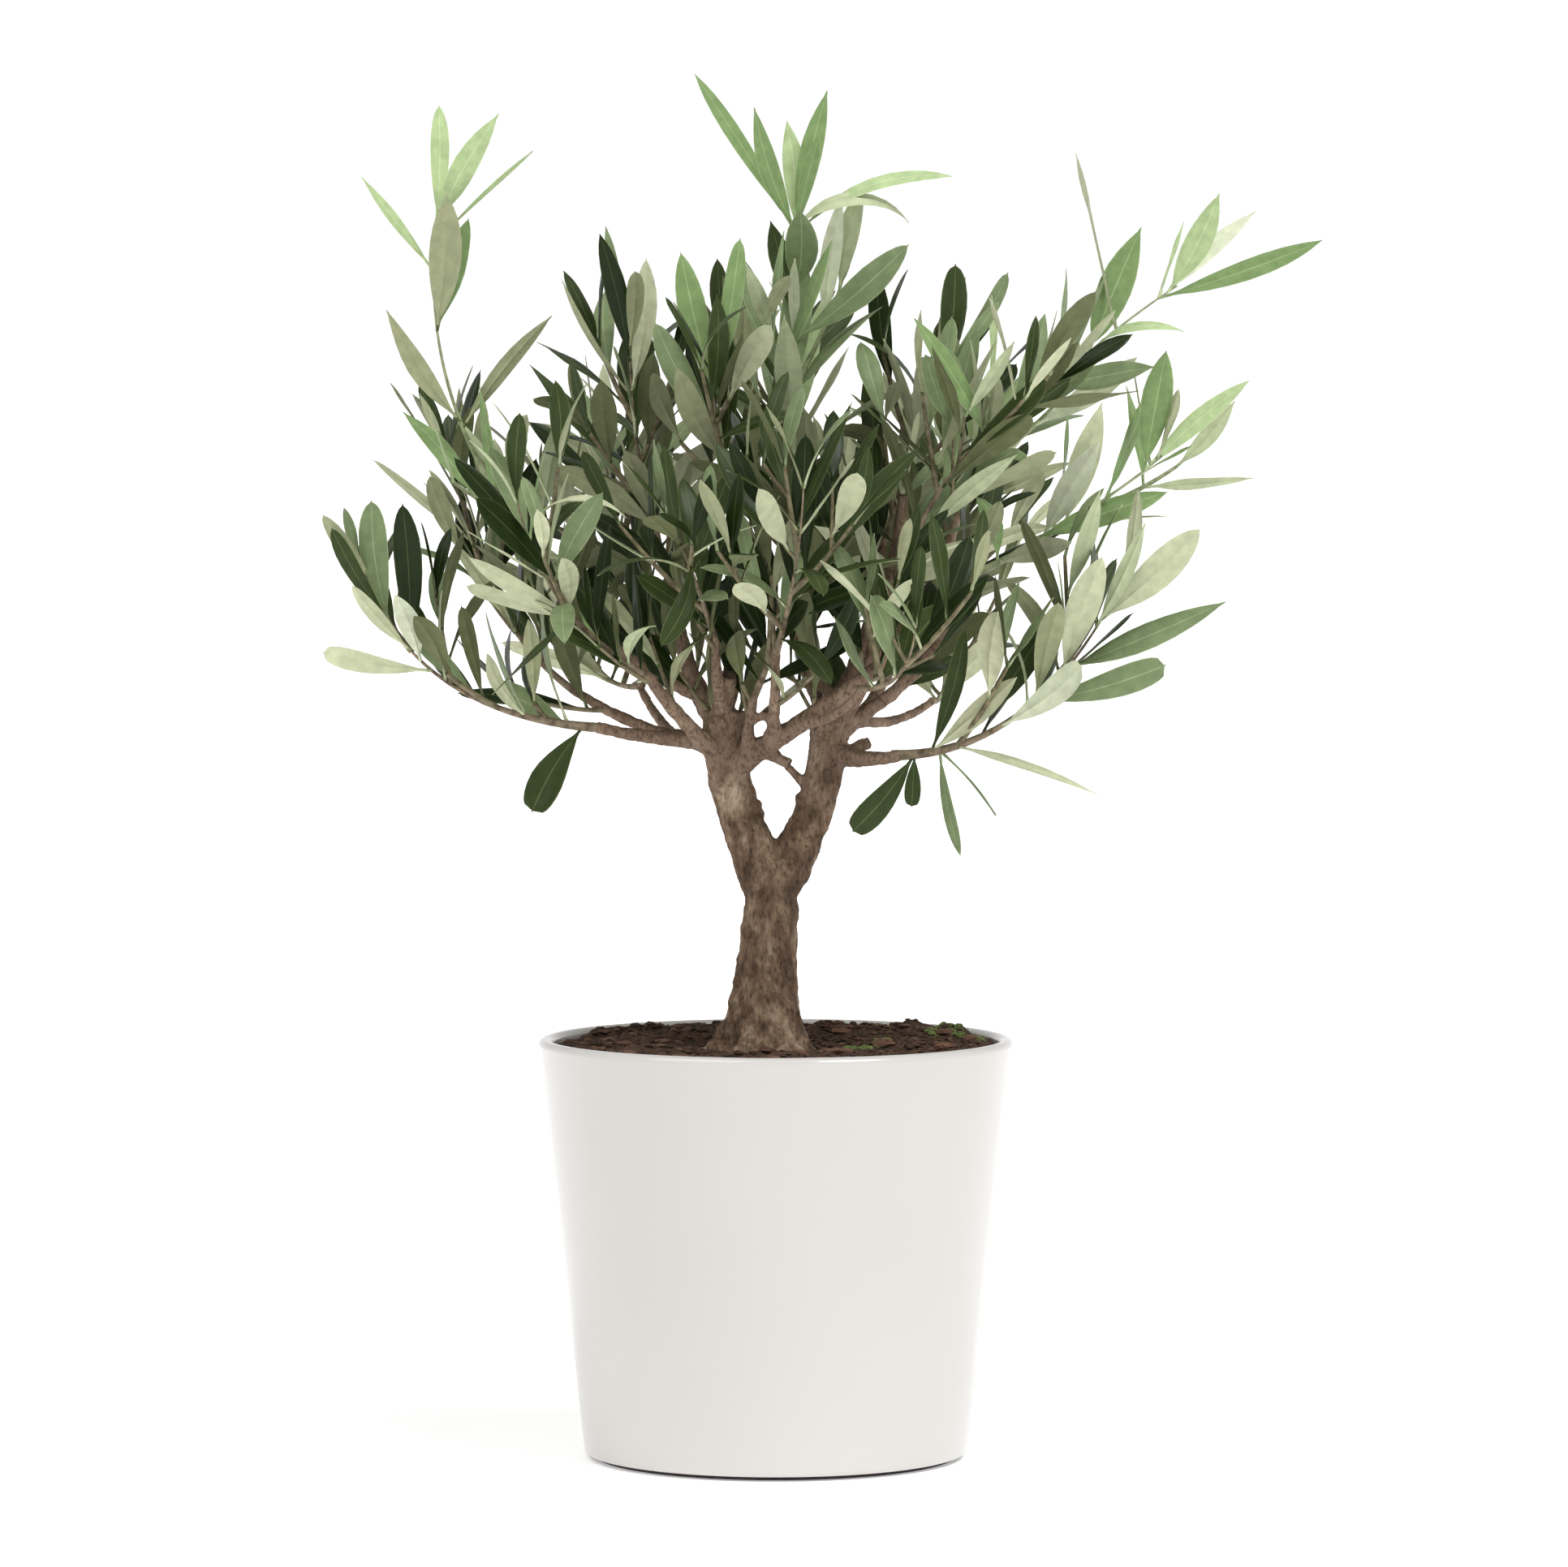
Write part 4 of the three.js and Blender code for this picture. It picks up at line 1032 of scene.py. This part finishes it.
def sideways(along, angle):
    """Unit vector square to along, turned round it by an angle."""
    nearly_upright = abs(along.z) > 0.95
    reference = Vector((1, 0, 0)) if nearly_upright else UP
    side = along.cross(reference).normalized()
    return swung(side, along.cross(side), angle)


def leaf_face(outlook, way, roll):
    """The upper side of a leaf looks towards outlook, then rolls a little about the leaf."""
    face = outlook + way.cross(outlook) * roll
    return (face - way * face.dot(way)).normalized()


def leaves_on(shoot, mass, dice):
    """Opposite pairs of leaves up a shoot, each pair about a quarter turn on from the last."""
    leaves = []
    curve, bare = shoot["curve"], shoot["bare"]
    pairs = max(2, round(curve.length * (1 - bare) / mass["gap"]))
    turn = dice.between(0, math.pi)
    for i in range(pairs + 1):
        share = bare + (1 - bare) * (i + PAIRS["foot"]) / (pairs + PAIRS["foot"] + PAIRS["short"])
        along = curve.along(share)
        near_tip = (i / pairs) ** 2
        turn += math.pi / 2 + dice.about(PAIRS["turn"])
        for opposite in (0, math.pi):
            spread = mass["spread"] * mix(*PAIRS["spread"], near_tip) + dice.about(PAIRS["wander"])
            way = swung(along, sideways(along, turn + opposite), math.radians(spread))
            way = (way + UP * (PAIRS["lift"] * mass["lift"])).normalized()
            length = mass["leaf"] * mix(1, PAIRS["tip_size"], near_tip) * dice.between(*LEAF["sizes"])
            face = leaf_face(along + UP * PAIRS["outlook"], way, dice.about(LEAF["roll"]))
            curl = dice.between(*LEAF["curls"])
            if share <= shoot.get("top", 1):
                leaves.append({"root": curve.at(share), "along": way, "face": face, "length": length,
                               "curl": curl, "shoot": shoot, "share": share})
    return leaves


def leaf_to(target, mass, leader, dice):
    """A leaf with a given end, from the nearest place on the leading shoot that is a leaf's length away."""
    end, own = target["end"], dict(target["own"])
    longest = target["length"] or mass["leaf"]
    share = 0
    nearest = math.inf
    for i in range(OUTER["first"], OUTER["last"] + 1):
        away = (leader.at(i / OUTER["steps"]) - end).length
        if away < nearest and nearest > longest:
            nearest = away
            share = i / OUTER["steps"]
    root = leader.at(share)
    straight = (end - root).normalized()
    outlook = leader.along(share) * OUTER["lean"] + Vector(own["outlook"])
    face = leaf_face(outlook, straight, own["roll"] + dice.about(OUTER["roll"]))
    curl = own["curl"]
    length = (end - root).length * (curl / math.sin(curl) if curl else 1)
    along, face = swung(straight, face, curl), swung(face, -straight, curl)
    if own["under"]:
        face = -face
        own["curl"] = -curl
    return {"root": root, "along": along, "face": face, "length": length, "own": own, "curl": 0}


def leader_of(mass, bough):
    """The leading shoot of a mass, rooted inside the end of its bough and cut off square to it."""
    end, heading = bough.curve.at(1), bough.curve.along(1)
    straight = Curve(end, mass["tip"], mass["bow"])
    lean = math.sin(straight.along(0).angle(heading))
    return Curve(end - heading * (lean * bough.radius_at(1)), mass["tip"], mass["bow"])


def side_shoot(parent, share, angle, spread, length, lift, radius):
    along = parent.along(share)
    heading = (swung(along, sideways(along, angle), spread) + UP * lift).normalized()
    root = parent.at(share)
    curve = Curve(root, root + heading * length, -UP * (TWIG["sag"] * length))
    return {"curve": curve, "radius": radius, "bare": TWIG["bare"]}


def shoots_of(mass, leader, thickness, dice):
    """The leading shoot of a mass and the side twigs that leave it by turns of the golden angle."""
    shoots = [{"curve": leader, "radius": thickness, "bare": mass["bare"], "top": mass["top"]}]
    for i in range(mass["twigs"]):
        share = mix(*mass["twig_zone"], (i + TWIG["first"]) / mass["twigs"])
        spread = math.radians(TWIG["divergence"] + dice.about(TWIG["wander"]))
        angle = i * TWIG["golden_angle"] + dice.about(TWIG["turn"])
        length = mass["reach"] * mix(*TWIG["reach"], share) * dice.between(*TWIG["sizes"])
        lift = TWIG["lift"] * mass["lift"]
        shoots.append(side_shoot(leader, share, angle, spread, length, lift, TWIG["radius"]))
    return shoots


def short_shoot(parent, share, angle, rule, lift, dice):
    """A fine twig or a spur, by its own rule of divergence, reach and radius."""
    spread = math.radians(rule["divergence"] + dice.about(TWIG["wander"]))
    length = rule["reach"] * dice.between(*TWIG["sizes"])
    return side_shoot(parent, share, angle, spread, length, lift, rule["radius"])


def fine_shoots(mass):
    """Finer twigs on the shoots of a mass, within its reach."""
    dice = Dice(FINE["seed"] + mass["seed"])
    fine = []
    for k, shoot in enumerate(mass["shoots"]):
        for i, share in enumerate(FINE["shares"][: mass["fine"]]):
            if shoot["bare"] < share <= shoot.get("top", 1):
                angle = (i + k) * TWIG["golden_angle"] + dice.about(TWIG["turn"])
                twig = short_shoot(shoot["curve"], share, angle, FINE, TWIG["lift"] * mass["lift"], dice)
                fine.append({**twig, "parent": shoot, "at": share})
    return fine


def leaf_profile(share, leaf):
    """Half width of a leaf at a share of its length: narrow stalk, long blade, blunt end and small point."""
    petiole, point = BLADE["petiole"], BLADE["point"]
    blade = (share - petiole) / (point - petiole)
    if blade <= 0:
        return BLADE["petiole_radius"]
    if blade >= 1:
        return mix(*BLADE["point_width"], (share - point) / (1 - point))
    opening, closing = LEAF["opening"], leaf["closing"]
    widest = opening / (opening + closing)
    swell = (blade / widest) ** opening * ((1 - blade) / (1 - widest)) ** closing
    stalk = BLADE["petiole_radius"] * (1 - blade) ** 3
    return max(stalk, BLADE["point_width"][0], leaf["length"] * leaf["slim"] / 2 * swell)


STATIONS = [0, 0.045, 0.085, 0.13, 0.2, 0.3, 0.41, 0.53, 0.65, 0.76, 0.85, 0.915, 0.955, BLADE["point"], 1]
TOP_ROW = [-1, -BLADE["margin"], -0.5, -BLADE["rib"], BLADE["rib"], 0.5, BLADE["margin"], 1]
PALE_STRIPS = (0, 3, 6)  # margins and midrib, counted across the upper side
BOTTOM_ROW = [0.5, 0.08, 0, -0.08, -0.5]
NO_BEND = 0.002  # radians over a leaf's whole length, too little for an arc


def leaf_faces():
    """Triangles of a leaf between its stations, and which of upper side, midrib and underside each one is."""
    row = len(TOP_ROW) + len(BOTTOM_ROW)
    faces = []
    materials = []
    for i in range(len(STATIONS) - 1):
        for j in range(row):
            a, b = i * row + j, i * row + (j + 1) % row
            on_top = j < len(TOP_ROW) - 1
            if on_top:
                faces += [(a, b, b + row), (a, b + row, a + row)]
            else:
                faces += [(a, b, a + row), (b, b + row, a + row)]
            pale = 1 if i == 0 or j in PALE_STRIPS else 0
            materials += [pale if on_top or i == 0 else 2] * 2
    faces.append(tuple(range(row - 1, -1, -1)))
    faces.append(tuple(range((len(STATIONS) - 1) * row, len(STATIONS) * row)))
    return faces, materials + [1, 1]


def spine(leaf, share):
    """A place on a leaf's midrib, which bends away from its upper side along an arc."""
    bend = 2 * leaf["curl"]
    if abs(bend) < NO_BEND:
        return leaf["root"] + leaf["along"] * (leaf["length"] * share)
    radius = leaf["length"] / bend
    forward = leaf["along"] * (radius * math.sin(bend * share))
    return leaf["root"] + forward - leaf["face"] * (radius * (1 - math.cos(bend * share)))


def leaf_points(leaf):
    """Points of a leaf: its blade arched, swayed, twisted and cupped, with wavy margins."""
    side = leaf["along"].cross(leaf["face"])
    thickness, lost = BLADE["thick"]
    cup_out, cup_in = BLADE["cup"]
    groove_depth, groove_reach = BLADE["groove"]
    points = []
    for share in STATIONS:
        half = leaf_profile(share, leaf)
        slope = 2 * leaf["curl"] * share
        centre = spine(leaf, share) + side * (leaf["sway"] * leaf["length"] * math.sin(math.pi * share))
        normal = swung(leaf["face"], leaf["along"], slope)
        twist = leaf["twist"] * share
        across, above = swung(side, normal, twist), swung(normal, -side, twist)
        blade = smoothstep(share, *BLADE["swells"])
        thick = mix(2 * BLADE["petiole_radius"], thickness, blade) * (1 - lost * share)
        fading = blade * (1 - share)

        def place_at(out, lift):
            cup = leaf["cup"] * (cup_out * abs(out) - cup_in * out ** 4)
            wave = leaf["wave"] * out * math.sin(leaf["phase"] + BLADE["waves"] * share)
            rise = blade * half * (cup + wave * abs(out))
            return centre + across * (half * out) + above * (rise + lift)

        for out in TOP_ROW:
            groove = groove_depth * fading if abs(out) < groove_reach else 0
            points.append(place_at(out, thick * 0.5 * (1 - abs(out)) * (1 - blade) - groove))
        for out in BOTTOM_ROW:
            ridge = BLADE["ridge"] * fading if out == 0 else 0
            points.append(place_at(out, -thick * BLADE["under"] - ridge))
    return points


# Coarse shapes for the test whether a leaf crosses anything
PROXY_STATIONS = (0.14, 0.35, 0.6, 0.8, 0.98)
PROXY_WIDTH = 0.92
WOOD = {"sides": 8, "step": 8}


def leaf_proxy(leaf):
    """A coarse copy of a leaf, to test whether it crosses anything."""
    side = leaf["along"].cross(leaf["face"])
    points = []
    for share in PROXY_STATIONS:
        half = PROXY_WIDTH * leaf_profile(share, leaf)
        centre = spine(leaf, share)
        points += [centre - side * half, centre + side * half]
    faces = [(i, i + 1, i + 3, i + 2) for i in range(0, len(points) - 2, 2)]
    return BVHTree.FromPolygons(points, faces)


class Crown:
    """All leaves and twigs placed so far. A leaf that would cross another or a limb is skipped."""

    def __init__(self, limbs, cut_shoots):
        self.leaves = []
        self.proxies = []
        self.middles = []
        maker = MeshMaker()
        for limb in [*limbs.values(), *cut_shoots]:
            steps = max(3, round(limb.curve.length / WOOD["step"]))
            maker.add(*tube(limb.curve, limb.radius_at, WOOD["sides"], steps))
        points = [Vector(p) for p in np.concatenate(maker.points)]
        self.wood = BVHTree.FromPolygons(points, maker.faces)

    def crosses(self, middle, proxy):
        """Whether a leaf would cross one of those that are near."""
        others = zip(self.proxies, self.middles)
        return any((place - middle).length < LEAF["near"] and other.overlap(proxy) for other, place in others)

    def offer(self, leaf, keep_clear=True):
        middle = spine(leaf, LEAF["middle"])
        proxy = leaf_proxy(leaf)
        if self.wood.overlap(proxy) or keep_clear and self.crosses(middle, proxy):
            return
        self.leaves.append(leaf)
        self.proxies.append(proxy)
        self.middles.append(middle)
        shoot, share = leaf.get("shoot"), leaf.get("share")
        while shoot:
            shoot["leafy"] = max(shoot.get("leafy", 0), share)
            shoot, share = shoot.get("parent"), shoot.get("at")


def off_leader(leader, place, steps=12):
    return min((leader.at(i / steps) - place).length for i in range(steps + 1))


def dress(leaf, tint, dice, loose=True):
    """Gives a leaf its own proportions, bends and kind, and turns a loose one a little out of its pair."""
    leaf["slim"] = dice.between(*LEAF["slim" if loose else "outer_slim"])
    for trait in ("closing", "twist", "sway", "cup", "wave", "phase"):
        leaf[trait] = dice.between(*LEAF[trait])
    often, least, most = LEAF["arched"]
    if dice.roll() < often:
        leaf["curl"] += dice.between(least, most) * (1 if loose else LEAF["outer_arch"])
    if loose:
        stray = Vector([dice.about(LEAF["wander"]) for _ in range(3)])
        leaf["along"] = (leaf["along"] + stray).normalized()
        leaf["face"] = leaf_face(leaf["face"], leaf["along"], dice.about(LEAF["extra_roll"]))
    leaf["kind"] = leaf_kind(TINTS[tint], dice)
    if leaf["kind"] in ("young", "fresh"):
        slimmer, blunter = LEAF["youth"]
        leaf["slim"] *= slimmer
        leaf["closing"] += blunter
    leaf.update(leaf.get("own", {}))
    return leaf


def leaf_kind(shares, dice):
    chance = dice.roll() * sum(shares.values())
    for kind, share in shares.items():
        chance -= share
        if chance < 0:
            return kind
    return kind


def grow_spurs(limbs):
    """Short side shoots straight on the boughs."""
    dice = Dice(SPURS["seed"])
    spurs = []
    for name, shares in SPURS["boughs"].items():
        turn = dice.between(0, 2 * math.pi)
        for i, share in enumerate(shares):
            angle = turn + i * TWIG["golden_angle"]
            spurs.append(short_shoot(limbs[name].curve, share, angle, SPURS, SPUR_MASS["lift"], dice))
    return spurs


def grow_mass(settings, limbs):
    """A mass with its shoots, and the leaves that they may bear."""
    bough = limbs[settings["bough"]]
    leader = leader_of(settings, bough)
    stem = settings["stem_radius"]
    mass = {**settings, "leader": leader}
    thickness = (stem, stem) if stem else (bough.radius_at(1), TWIG["radius"][1])
    dice = Dice(mass["seed"])
    mass["shoots"] = shoots_of(mass, leader, thickness, dice)
    mass["outer_leaves"] = [leaf_to(target, mass, leader, dice) for target in OUTLINE.get(mass["name"], [])]
    mass["leaves"] = [leaf for shoot in mass["shoots"] for leaf in leaves_on(shoot, mass, dice)]
    mass["fine_shoots"] = fine_shoots(mass)
    dice = Dice(FINE["seed"] + mass["seed"])
    mass["fine_leaves"] = [leaf for shoot in mass["fine_shoots"] for leaf in leaves_on(shoot, mass, dice)]
    return mass


def grow_foliage(limbs):
    """Leading shoots, twigs and leaves of every mass, and the shoots that were cut back."""
    grown = [grow_mass(settings, limbs) for settings in MASSES]
    cut_shoots = []
    for mass in grown:
        stem = mass["stem_radius"]
        if stem:
            cut_shoots.append(Limb(mass["name"], mass["leader"], tapered(stem, stem)))
    crown = Crown(limbs, cut_shoots)
    looks = Dice(LEAF["seed"])
    for mass in grown:
        for leaf in mass["outer_leaves"]:
            crown.offer(dress(leaf, mass["tint"], looks, loose=False), keep_clear=False)
    for layer in ("leaves", "fine_leaves"):
        for mass in grown:
            for leaf in mass[layer]:
                end = leaf["root"] + leaf["along"] * leaf["length"]
                if off_leader(mass["leader"], end) < mass["room"]:
                    crown.offer(dress(leaf, mass["tint"], looks))
    spurs = grow_spurs(limbs)
    dice = Dice(SPURS["seed"] + 1)
    for spur in spurs:
        for leaf in leaves_on(spur, SPUR_MASS, dice):
            crown.offer(dress(leaf, SPUR_MASS["tint"], looks))
    return crown, grown, cut_shoots, spurs


def twig_kind(mass, otherwise):
    return "green" if mass["tint"] in ("pale", "young") else otherwise


TWIG_TONES = {
    "woody": ((0.11, 0.08, 0.05), (0.29, 0.23, 0.155)),
    "green": ((0.2, 0.23, 0.12), (0.37, 0.41, 0.24)),
    "side": ((0.12, 0.1, 0.055), (0.25, 0.215, 0.13)),
}


def make_twigs(grown, spurs):
    """Woody and green leading shoots, and side twigs, each one up to its last leaf."""
    makers = {kind: MeshMaker() for kind in TWIG_TONES}
    foot_share, tip_share, power = TWIG["leader"]
    sides, step = TWIG["sides"], TWIG["step"]
    for mass in grown:
        if mass["stem_radius"]:
            continue
        leader = mass["shoots"][0]
        foot, tip = leader["radius"]

        def leader_radius(share, angle):
            return mix(tip_share * tip, foot_share * foot, (1 - min(max(share, 0), 1)) ** power)

        length = leader["curve"].length
        first = -TWIG["sunk"] / length
        shape = tube(leader["curve"], leader_radius, sides, round(length / step), first=first)
        makers[twig_kind(mass, "woody")].add(*shape)
    side_twigs = []
    for mass in grown:
        side_twigs += [(twig_kind(mass, "side"), shoot) for shoot in mass["shoots"][1:] + mass["fine_shoots"]]
    for kind, shoot in side_twigs + [("side", spur) for spur in spurs]:
        if "leafy" in shoot:
            curve = shoot["curve"]
            steps = max(4, round(curve.length / step))
            makers[kind].add(*tube(curve, tapered(*shoot["radius"]), sides, steps, last=shoot["leafy"]))
    for kind, maker in makers.items():
        material = twig_material(f"{kind}_twig", *TWIG_TONES[kind])
        piece = maker.build(f"{kind}_twigs", [material], sharp_degrees=60)
        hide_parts(*MASS_NAMES)


def make_leaves(crown):
    faces, materials = leaf_faces()
    for kind, look in LEAF_KINDS.items():
        maker = MeshMaker()
        for leaf in crown.leaves:
            if leaf["kind"] == kind:
                maker.add(leaf_points(leaf), faces, materials)
        piece = maker.build(f"{kind}_leaves", leaf_materials(kind, *look), sharp_degrees=75)
        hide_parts(*MASS_NAMES)


# Studio


def make_surround():
    """A white surround, dimmer overhead than at eye level."""
    world = bpy.data.worlds.new("white_surround")
    world.use_nodes = True
    tree = world.node_tree
    height = add_node(tree, "SeparateXYZ", {0: add_node(tree, "TexCoord", {})["Generated"]})["Z"]
    background = tree.nodes["Background"].inputs
    faded = add_node(tree, "MapRange", {"Value": height, **STUDIO["surround"]})["Result"]
    feed(tree, (1, 1, 1), background["Color"])
    feed(tree, faded, background["Strength"])
    bpy.context.scene.world = world


def make_floor():
    reach = STUDIO["floor"]["reach"]
    mesh = bpy.data.meshes.new("floor")
    corners = [(-reach, -reach, 0), (reach, -reach, 0), (reach, reach, 0), (-reach, reach, 0)]
    mesh.from_pydata(corners, [], [(0, 1, 2, 3)])
    floor = linked("floor", mesh)
    floor.location.z = -STUDIO["floor"]["drop"] * MM
    glow = {"Emission_Color": (1, 1, 1), "Emission_Strength": STUDIO["floor"]["glow"]}
    pale = Shader("pale_floor", (0.93, 0.93, 0.93), 0.9, **glow)
    pale.bump(pale.noise(30), 0.02, 0.1)
    mesh.materials.append(pale.material)


def make_studio():
    bpy.context.scene.view_settings.view_transform = "Standard"
    make_surround()
    make_floor()
    for name, (energy, width, way) in STUDIO["suns"].items():
        sun = bpy.data.lights.new(name, "SUN")
        sun.energy = energy
        sun.angle = math.radians(width)
        linked(name, sun).rotation_euler = Vector(way).to_track_quat("Z", "Y").to_euler()


def make_camera():
    camera = bpy.data.cameras.new("camera")
    camera.sensor_width = CAMERA["sensor"]
    camera.lens = CAMERA["focal_pixels"] / CAMERA["image_width"] * CAMERA["sensor"]
    camera.clip_end = CAMERA["far"]
    eye = linked("camera", camera)
    eye.location = Vector(CAMERA["place"]) * MM
    eye.rotation_euler = (math.radians(90 - CAMERA["pitch"]), 0, 0)
    bpy.context.scene.camera = eye


make_pot()
make_soil()
for kind, look in CRUMBS["kinds"].items():
    scatter_crumbs(kind, *look)
limbs = grow_limbs()
crown, grown, cut_shoots, spurs = grow_foliage(limbs)
make_bark(limbs, cut_shoots)
make_twigs(grown, spurs)
make_leaves(crown)
make_studio()
make_camera()
